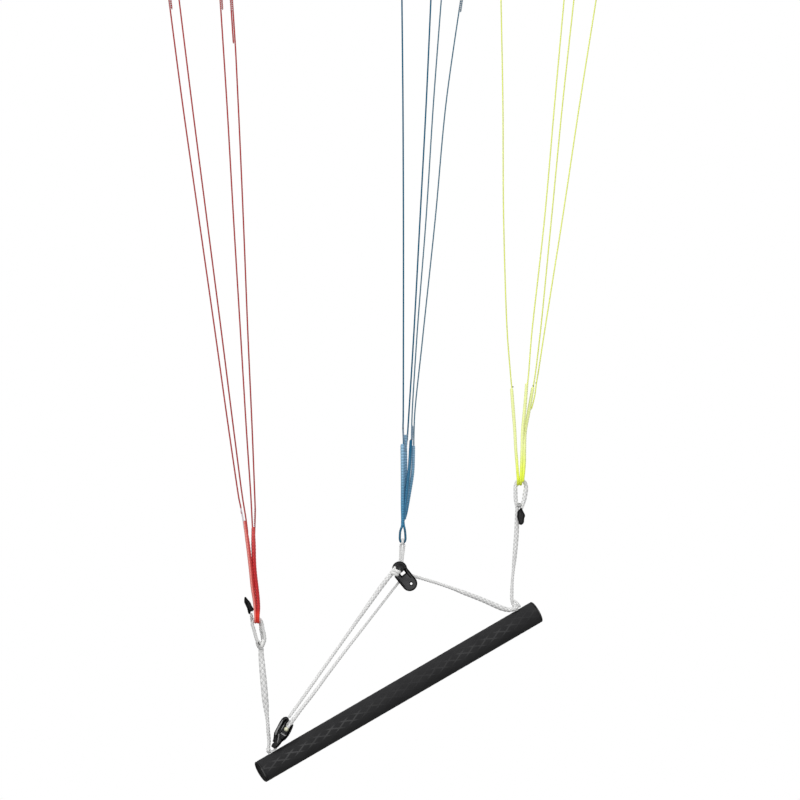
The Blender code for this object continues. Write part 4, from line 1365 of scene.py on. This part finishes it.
# %% The eye round the head
EYE_STRAND = [
    (-14.9, -11.0, -749.4, 1.4), (-13.2, -12.6, -746.0, 1.7), (-11.4, -12.6, -743.0, 1.7),
    (-10.0, -10.8, -740.4, 1.3),
]
EYE_COIL = coil((-8.0, -9.0, -744.4), (-0.61, 0, -0.79), 3.6, 2.1, 3.9, -40, 640, 17)
settle(rope("eye_coil", EYE_COIL, lit_rope), "harness", "rope")
settle(rope("eye_strand", EYE_STRAND, lit_rope), "harness", "rope")
print("eye made")

# %% [markdown]
# ## Cleat
# At the foot of the V's left leg a jam cleat grips the thin rope: the rope is pulled into a
# narrowing channel between two rails, down to a toothed plate. The body is one dark moulding. It
# is raised from its outline and cut with the channel and with the groove that runs down the left
# rail. The pale strips on the crests are painted highlights; they, the pin and the toothed plate
# are their own small pieces, and so are the thin dark cords that darken three of its edges, which
# are painted shadow.

# %% Cleat
CLEAT_FRONT = -7.6
CLEAT_BACK = 1.4
CHANNEL_BACK = 2.2
GROOVE_DEPTH = 2.6
NICK_DEPTH = 3.4
CLEAT_OUTLINE = [
    (6.7, 2.1), (9.9, 2.6), (12.2, 4.4), (14.0, 6.5), (16.6, 10.1), (21.1, 13.3), (24.8, 17.8),
    (27.6, 22.9), (29.6, 27.6), (30.6, 31.2), (28.0, 31.6), (25.8, 33.4), (25.2, 37.0), (24.2, 39.9),
    (21.6, 41.0), (18.6, 40.4), (16.2, 38.4), (13.8, 34.8), (10.5, 28.4), (7.3, 22.4), (5.9, 13.9),
    (4.9, 10.9), (6.6, 9.6), (4.4, 7.8), (3.4, 4.8),
]
CLEAT_CHANNEL = [
    (15.0, 12.6), (17.8, 13.0), (21.2, 15.6), (23.4, 19.4), (30.4, 34.0), (25.6, 41.0), (23.2, 37.2),
    (19.2, 29.6), (14.6, 20.6), (13.9, 15.6),
]
CLEAT_GROOVE = [
    (18.2, 35.8), (19.6, 35.2), (16.4, 27.9), (13.4, 22.9), (11.5, 17.0), (10.9, 11.6), (9.3, 11.8),
    (10.0, 17.4), (11.9, 23.6), (14.9, 28.6),
]
CLEAT_NICK = [(3.0, 9.4), (8.6, 11.2), (8.2, 12.0), (3.0, 11.4)]
RAIL_HIGHLIGHT = [
    (17.2, 37.6), (14.8, 34.2), (11.2, 28.4), (8.2, 22.6), (7.8, 18.8), (9.6, 18.4), (11.3, 23.8),
    (14.2, 28.9), (17.6, 35.4), (18.2, 37.0),
]
INNER_HIGHLIGHT = [(19.7, 30.7), (18.7, 31.1), (15.0, 25.4), (16.0, 24.8)]
FOOT_HIGHLIGHT = [(12.2, 20.4), (13.4, 20.0), (12.4, 12.9), (11.3, 8.6), (10.2, 9.0), (11.2, 13.0)]
TOOTH_PLATE = [
    (-3.8, -1.0), (3.8, -1.0), (3.8, 0.3), (3.0, 1.3), (2.0, 0.3), (0.6, 0.3), (-0.2, 1.5), (-1.2, 0.4),
    (-2.0, 0.4), (-3.0, 1.9), (-3.8, 1.2),
]
TOOTH_MIDDLE = (18.4, 19.2)
SHADED_EDGES = {
    "cleat_edge_right": [
        (28.9, 31.0, 0.8), (27.7, 28.2, 0.9), (26.0, 24.6, 0.9), (23.7, 19.8, 0.9), (20.9, 16.2, 0.9),
        (18.5, 13.7, 0.8), (16.0, 11.4, 0.8), (13.3, 7.9, 0.8), (11.0, 5.2, 0.8), (8.6, 3.8, 0.8),
    ],
    "cleat_edge_rail": [
        (22.6, 38.0, 1.2), (20.0, 35.8, 1.3), (16.8, 31.8, 0.7), (14.1, 28.2, 0.6), (11.8, 24.4, 0.6),
        (10.6, 22.6, 0.6), (9.7, 19.0, 0.5), (9.4, 14.2, 0.5),
    ],
    "cleat_edge_left": [(7.4, 22.4, 0.4), (6.9, 17.8, 0.5), (6.3, 13.6, 0.4)],
}
CHANNEL_WAY = Vector((0.52, 0.854))
RAIL_PIN = (16.0, 33.7)


def make_cleat(place):
    body = guide(slab(CLEAT_OUTLINE, CLEAT_FRONT, CLEAT_BACK), place)
    cutters = [
        slab(CLEAT_CHANNEL, CLEAT_FRONT - CLEAR, CLEAT_BACK - CHANNEL_BACK),
        slab(CLEAT_GROOVE, CLEAT_FRONT - CLEAR, CLEAT_FRONT + GROOVE_DEPTH),
        slab(CLEAT_NICK, CLEAT_FRONT - CLEAR, CLEAT_FRONT + NICK_DEPTH),
    ]
    tools = [guide(shape, place) for shape in cutters]
    cleat = finished("jam_cleat", body, tools, cleat_plastic, 0.55, 30)
    return settle(cleat, "harness", "fitting", "cleat")


def make_cleat_trim(place):
    """The pale strips on the rail's crest and two ribs, painted highlights, a pin, the toothed plate across
    the channel, and the dark edges, painted shadow.
    """
    teeth = []
    for across, ahead in TOOTH_PLATE:
        teeth.append((
            TOOTH_MIDDLE[0] + across * CHANNEL_WAY.y + ahead * CHANNEL_WAY.x,
            TOOTH_MIDDLE[1] - across * CHANNEL_WAY.x + ahead * CHANNEL_WAY.y,
        ))
    made = []
    for name, outline, front, back, material in (
        ("cleat_rail_highlight", RAIL_HIGHLIGHT, CLEAT_FRONT - 0.5, CLEAT_FRONT + 0.6, highlight_plastic),
        ("cleat_inner_highlight", INNER_HIGHLIGHT, CLEAT_FRONT - 0.3, CLEAT_FRONT + 0.6, highlight_plastic),
        ("cleat_foot_highlight", FOOT_HIGHLIGHT, CLEAT_FRONT - 0.5, CLEAT_FRONT + 0.6, highlight_plastic),
        ("cleat_pin", arc(*RAIL_PIN, 0.8, 0, 345, 23), CLEAT_FRONT - 0.9, CLEAT_FRONT, tooth_plastic),
        ("cleat_teeth", teeth, -4.6, -0.6, tooth_plastic),
    ):
        piece = finished(name, guide(slab(outline, front, back), place), [], material, 0.25, 30)
        made.append(settle(piece, "harness", "fitting"))
    for name, spots in SHADED_EDGES.items():
        knots = [(x, CLEAT_FRONT + 0.1, z, radius) for x, z, radius in spots]
        edge = roll(name, from_base(knot_centre(-1), knots), shade_rubber, steps=6)
        made.append(settle(edge, "harness", "fitting"))
    return made


CLEAT_PLACE = Matrix.Translation(knot_centre(-1) * MM)
cleat = make_cleat(CLEAT_PLACE)
trim = make_cleat_trim(CLEAT_PLACE)
print("cleat", triangles(cleat), "and trim", sum(triangles(piece) for piece in trim), "triangles")

# %% Rope end in the cleat
CREAM_TIP = [(23.2, -4.6, 28.0, 2.5), (21.7, -5.0, 25.7, 2.8), (20.2, -5.2, 23.4, 2.7)]
CLEAT_STRAND = [(26.4, -5.2, 36.2, 0.9), (23.6, -5.6, 32.6, 1.1), (21.6, -5.4, 29.4, 1.0)]
cream_knots = from_base(knot_centre(-1), CREAM_TIP)
cream_tip = roll("cream_tip", cream_knots, cream_end, WHITE_CARRIERS, ROPE_RELIEF / 2, blunt=0.9)
settle(cream_tip, "harness", "rope")
settle(rope("cleat_strand", from_base(knot_centre(-1), CLEAT_STRAND), shaded_rope), "harness", "rope")
print("rope end made")

# %% [markdown]
# ## Sleeves
# Above each link the lines run into braided sleeves. At the sides most of them turn round the
# soft loop and are sewn back into themselves, and the last yellow one is sewn to the loop. The
# first blue one runs on as the open loop, and the others join it. Their braid is finer than the
# white rope's, and the grid has fewer steps to a strand, because there are nine of them.

# %% Sleeve routes
SLEEVE_RELIEF = 0.3
LINK_PLAY = 0.6
LINK_SWAY = 0.75


def turning_sleeve(link, top, foot, run):
    """A sleeve that turns round the loop's upper bend at a foot (x, radius), its tail behind it.

    It is open to front and back, because the bend hangs below the pivot and sways in it.
    """
    across, radius = foot
    reach = top[3] + LINK_PLAY + radius
    open_to = reach + LINK_SWAY * top[1]
    turn = [(across, y * open_to / reach, z - top[1], radius) for y, z in arc(0, 0, reach, 180, 360, 4)]
    tail = [(x, min(-y, open_to), z, thick) for x, y, z, thick in reversed(run[-3:])]
    return from_base(link, run + turn + tail)


RED_1 = [
    (-17.0, -1.5, 118, 1.7), (-13.4, -1.8, 95, 2.5), (-9.4, -2.2, 62, 2.5), (-6.5, -2.4, 34, 2.4),
    (-4.7, -2.6, 21.7, 2.2), (-3.7, -4.2, 11, 2.0), (-3.4, -4.9, 4, 1.8),
]
RED_2 = [
    (-6.2, 2.5, 110.6, 2.1), (-5.8, 1.5, 88, 2.8), (-4.7, -0.2, 60, 2.6), (-1.6, -2.2, 34, 2.4),
    (-0.2, -2.6, 21.7, 2.2), (0.3, -4.2, 11, 2.0), (0.0, -4.9, 4, 1.8),
]
YELLOW_1 = [
    (-11.4, -1.5, 110, 1.9), (-9.4, -1.8, 84, 2.0), (-7.5, -2.0, 59.5, 1.85), (-6.2, -2.2, 35, 1.8),
    (-5.2, -2.4, 23, 1.8), (-4.3, -4.8, 11, 1.75),
]
YELLOW_2 = [
    (7.2, -2.6, 116, 1.9), (4.7, -2.4, 84, 2.1), (2.3, -2.2, 59.5, 2.0), (1.5, -2.2, 35, 1.9),
    (0.9, -3.2, 18, 1.8), (0.4, -5.4, 8, 1.7),
]
YELLOW_3 = [
    (14.8, 3.0, 111.5, 1.9), (9.4, 2.8, 80, 2.1), (5.2, 0.4, 56, 2.0), (4.5, -1.6, 35, 1.9),
    (4.3, -3.0, 18, 1.8), (3.6, -5.6, 8, 1.7), (2.9, -6.8, 0, 1.5), (2.5, -7.0, -4.5, 1.3),
]
BLUE_1 = [
    (-1.2, -1.6, 118, 2.5), (-1.0, -2.0, 80, 2.3), (-1.2, -2.2, 40, 2.1), (-1.2, -2.0, 29, 1.8),
    (-1.2, -1.0, 21, 1.9), (-1.9, -0.4, 17, 1.5), (-3.5, 0, 13, 1.35),
]
BLUE_2 = [(2.0, 1.8, 129, 2.1), (2.2, 2.2, 80, 2.3), (0.6, 2.2, 42, 2.1), (-0.5, 1.6, 23, 1.3)]
BLUE_3 = [(9.2, -2.0, 123, 1.9), (7.3, -2.2, 90, 2.1), (3.9, -2.2, 58, 2.2), (0.5, -1.4, 24, 1.1)]
BLUE_4 = [
    (12.4, 2.6, 116, 1.8), (11.0, 2.4, 82, 2.0), (6.6, 2.4, 54, 2.0), (3.4, 1.8, 34, 1.6),
    (1.6, 1.5, 25.5, 1.1),
]


def open_loop_sleeve():
    """The first blue sleeve runs on as the open loop that holds the strop."""
    low = FRONT_LOOP_LOW - LINK_FRONT
    bend = ((-1.0, 7.0), (-0.98, 3.4), (-0.72, 0.9), (0, 0), (0.72, 0.9), (0.98, 3.4), (1.0, 7.0))
    loop = [(low.x + FRONT_LOOP_HALF * x, 0, low.z + z, FRONT_LOOP_RADIUS) for x, z in bend]
    loop += [(1.6, 0, 13, FRONT_LOOP_RADIUS), (0.3, 0.2, 20, 1.3), (0.0, 0.4, 30, 1.2)]
    return from_base(LINK_FRONT, BLUE_1 + loop)


SLEEVES = {
    "left_1": ("red", "left_lines", turning_sleeve(LINK_LEFT, LEFT_TOP, (-3.4, 1.7), RED_1)),
    "left_2": ("red", "left_lines", turning_sleeve(LINK_LEFT, LEFT_TOP, (-0.2, 1.7), RED_2)),
    "front_1": ("blue", "front_lines", open_loop_sleeve()),
    "front_2": ("blue", "front_lines", from_base(LINK_FRONT, BLUE_2)),
    "front_3": ("blue", "front_lines", from_base(LINK_FRONT, BLUE_3)),
    "front_4": ("blue", "front_lines", from_base(LINK_FRONT, BLUE_4)),
    "right_1": ("yellow", "right_lines", turning_sleeve(LINK_RIGHT, RIGHT_TOP, (-3.4, 1.7), YELLOW_1)),
    "right_2": ("yellow", "right_lines", turning_sleeve(LINK_RIGHT, RIGHT_TOP, (-0.1, 1.7), YELLOW_2)),
    "right_3": ("yellow", "right_lines", from_base(LINK_RIGHT, YELLOW_3)),
}
for place, (hue, body, knots) in SLEEVES.items():
    name = "sleeve_cover_" + place
    piece = roll(name, knots, sleeve_looks[place], SLEEVE_CARRIERS, SLEEVE_RELIEF, fine=2, blunt=0.8)
    settle(piece, body, hue + "_line", "sleeve_" + place)
    print(name, triangles(piece), "triangles")

# %% [markdown]
# ## Lines
# Twelve lines run from the sleeves to the sewn loops above the picture. Each is a hard braided
# cord little more than a millimetre thick, so its strands are only in the finish. Its run is
# written as the places where it crosses some rows of the photo, from its sleeve up. Each upper
# loop is a teardrop whose tail lies back along the line.

# %% Line routes
LINE_RADII = {"red": 0.9, "blue": 0.94, "slate": 0.8, "yellow": 0.78}
LOOP_NECK_Z = -27.0
LOOP_LENGTH = 25.5
LOOP_HALF_WIDTH = 4.2
NECK_RUN = 8.0
TEARDROP = (
    (0.0, 0.0), (0.26, -0.62), (0.56, -1.0), (0.84, -0.86), (1.0, 0.0), (0.84, 0.86), (0.56, 1.0),
    (0.26, 0.72),
)
LINES = {
    "left_1": ("left_1", "red", (-56, -68), 36, 1, [
        (515, 241.6), (507, 240.4), (500, 238.9), (440, 230.0), (340, 216.0), (220, 198.9),
        (100, 181.9), (0, 168.9)]),
    "left_2": ("left_1", "red", (-32, -22), 14, 1, [
        (534, 247.6), (520.5, 245.9), (500, 242.6), (440, 234.7), (340, 222.1), (220, 206.6),
        (100, 191.1), (0, 178.7)]),
    "left_3": ("left_2", "red", (-50, -58), 36, 1, [
        (536, 252.6), (522, 251.9), (500, 250.8), (440, 246.8), (340, 240.7), (220, 233.4),
        (100, 226.5), (0, 220.0)]),
    "left_4": ("left_2", "red", (-26, -10), 76, -1, [
        (536, 254.3), (524, 254.6), (508.6, 254.9), (500, 254.6), (440, 252.3), (340, 247.8), (220, 243.0),
        (100, 237.6), (46, 234.9), (0, 231.8)]),
    "front_1": ("front_1", "blue", (-18, -30), 14, 1, [
        (450, 403.2), (442, 403.0), (429, 402.5), (420, 402.7), (340, 402.9), (220, 402.9),
        (100, 402.4), (0, 401.4)]),
    "front_2": ("front_2", "blue", (13, 24), 14, 1, [
        (442, 406.6), (433, 407.2), (420, 408.0), (340, 413.0), (220, 419.5), (100, 425.9), (0, 430.4)]),
    "front_3": ("front_3", "slate", (-8, -14), 14, 1, [
        (446, 411.0), (440, 411.0), (420, 411.4), (340, 416.2), (220, 425.5), (100, 433.2), (0, 440.8)]),
    "front_4": ("front_4", "slate", (20, 32), 37, 1, [
        (452, 413.4), (445, 413.3), (420, 413.9), (340, 422.0), (220, 434.7), (100, 446.0), (0, 460.3)]),
    "right_1": ("right_1", "yellow", (16, 8), 14, 1, [
        (396, 512.2), (387, 511.3), (375, 510.2), (340, 507.3), (220, 503.2), (100, 502.4), (0, 500.5)]),
    "right_2": ("right_2", "yellow", (48, 58), 14, 1, [
        (394, 526.6), (383, 527.4), (375, 528.2), (340, 530.9), (220, 544.2), (100, 554.8), (0, 563.9)]),
    "right_3": ("right_3", "yellow", (22, 12), 14, 1, [
        (396, 532.2), (386, 533.2), (375, 534.9), (340, 539.2), (220, 551.0), (100, 562.6), (0, 573.5)]),
    "right_4": ("right_3", "yellow", (60, 76), 14, 1, [
        (410, 531.0), (396, 534.4), (383, 536.2), (375, 537.6), (340, 543.0), (220, 562.1),
        (100, 580.2), (0, 596.1)]),
}
MIDDLE_Z, UPPER_Z = -317, -49


def line_run(sleeve, depths, rows):
    """Places along a line, from its sleeve up, its depth read off three levels."""
    foot = SLEEVES[sleeve][2][0]
    run = []
    for y, x in rows:
        across, level = photo_place(x, y)
        deep = np.interp(level, (foot[2], MIDDLE_Z, UPPER_Z), (foot[1], *depths))
        run.append(Vector((across, deep, level)))
    return run


def upper_loop(below, upper, tail, hand, offset):
    """The neck of a line's loop, the loop's knots, and its frame; the tail lies on one hand."""
    rise = (upper - below).normalized()
    neck = upper + rise * ((LOOP_NECK_Z - upper.z) / rise.z)
    side = Vector((rise.z, 0, -rise.x)).normalized() * hand
    knots = [neck - rise * NECK_RUN]
    knots += [neck + rise * (h * LOOP_LENGTH) + side * (w * LOOP_HALF_WIDTH) for h, w in TEARDROP]
    knots += [neck - rise * (drop * tail) + side * offset for drop in (0.0, 0.5, 1.0)]
    return neck, knots, rise, side


line_ends = {}
for place, (sleeve, look, depths, tail, hand, rows) in LINES.items():
    hue, body, _ = SLEEVES[sleeve]
    run = line_run(sleeve, depths, rows)
    radius = LINE_RADII[look]
    neck, loop, rise, side = upper_loop(run[-2], run[-1], tail, hand, 2 * radius + SEAM)
    line_ends[place] = (neck + side * (radius + SEAM / 2), rise, radius)
    knots = [(*knot, radius) for knot in run + loop]
    piece = roll("cord_" + place, knots, line_looks[look], LINE_CARRIERS, fine=1, rows=4, steps=12)
    settle(piece, body, hue + "_line", "line_" + place)
    print(piece.name, round(run_along(fine_route(knots)[0])[-1]), "mm,", triangles(piece), "triangles")

# %% [markdown]
# ## Stitching
# The tails of the upper loops are sewn to their lines. Above some sleeves a paler core shows, one
# of them stitched through in the line's colour. A stitch is seen as a dot where its thread comes
# round the cord. Here the thread is a thin cord itself, rolled along a helix that follows the line.

# %% Stitches
STEPS_PER_TURN = 8
TACK_PITCH = 2.4
TACK_LONGEST = 37
TACK_SPREAD = 2.0
TACK_THREAD = 0.26


def wound(name, knots, spread, pitch, thread, material):
    """A thread wound round a route, as far out as the route's radius; spread widens it sideways."""
    points, radii = fine_route(knots, 12)
    run = run_along(points)
    steps = max(12, round(run[-1] / pitch * STEPS_PER_TURN))
    far = np.linspace(0, run[-1], steps + 1)
    centre = np.stack([np.interp(far, run, points[:, k]) for k in range(3)], axis=1)
    reach = np.interp(far, run, radii)[:, None]
    side, up = carried_frames(centre)
    angle = (math.tau * np.arange(steps + 1) / STEPS_PER_TURN)[:, None]
    spots = centre + side * np.cos(angle) * reach * spread + up * np.sin(angle) * reach
    return roll(name, [(*spot, thread) for spot in spots], material, rows=6, steps=3)


for place, (sleeve, _, _, tail, _, _) in LINES.items():
    hue, body, _ = SLEEVES[sleeve]
    middle, rise, radius = line_ends[place]
    long = min(tail, TACK_LONGEST)
    knots = [(*(middle + rise * far), radius + 0.2) for far in (2.0, -long / 2, 1.0 - long)]
    thread = wound("tack_" + place, knots, TACK_SPREAD, TACK_PITCH, TACK_THREAD, pale_thread)
    settle(thread, body, hue + "_line")
print("tacks made:", len(LINES))

# %% Cores and end marks
CORE_RELIEF = 0.15
CORE_THREAD = 0.4
CORES = {
    "left_1": (0.95, [(536, 245.6), (527, 243.9), (518, 242.5), (508, 240.5)], None),
    "left_4": (0.85, [(528, 254.4), (518, 254.7), (509, 254.9)], red_thread),
    "front_1": (1.0, [(452, 404.4), (444, 403.7), (436, 402.9), (429, 402.6)], None),
    "front_2": (1.1, [(446, 405.9), (440, 406.3), (434, 407.0)], None),
    "front_3": (1.15, [(441, 411.4), (433, 411.8), (426, 411.9)], None),
    "right_2": (0.9, [(392, 526.2), (384, 527.2)], None),
}
MARKS = {
    "left_1": (1.25, [(522.6, 244.9), (520.9, 244.1)], red_thread),
    "front_1": (1.0, [(430.0, 402.6), (427.6, 402.6)], blue_thread),
    "front_3": (1.35, [(441.0, 410.9), (439.4, 410.9)], dark_thread),
    "front_2": (0.85, [(428.6, 407.5), (427.2, 407.6)], blue_thread),
    "right_1": (0.85, [(388.0, 512.6), (386.7, 512.4)], dark_thread),
    "right_3": (1.15, [(387.1, 532.9), (385.7, 533.1)], dark_thread),
    "right_4": (0.8, [(384.0, 535.6), (382.8, 535.8)], dark_thread),
}


def on_line(place, radius, rows):
    """The hue and body of a line, and the knots of a short piece that lies on it."""
    sleeve, _, depths = LINES[place][:3]
    hue, body, _ = SLEEVES[sleeve]
    return hue, body, [(*spot, radius) for spot in line_run(sleeve, depths, rows)]


for place, (radius, rows, thread) in CORES.items():
    hue, body, knots = on_line(place, radius, rows)
    material = blue_core if hue == "blue" else pale_core
    core = roll("core_" + place, knots, material, LINE_CARRIERS, CORE_RELIEF, fine=2)
    settle(core, body, hue + "_line")
    if thread:
        stitch = wound(core.name + "_stitch", knots, 1.0, TACK_PITCH, CORE_THREAD, thread)
        settle(stitch, body, hue + "_line")
for place, (radius, rows, material) in MARKS.items():
    hue, body, knots = on_line(place, radius, rows)
    settle(roll("mark_" + place, knots, material, rows=8), body, hue + "_line")
print("cores and marks made:", len(CORES) + len(MARKS))

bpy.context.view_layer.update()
print("triangles in all:", sum(triangles(piece) for piece in pieces))
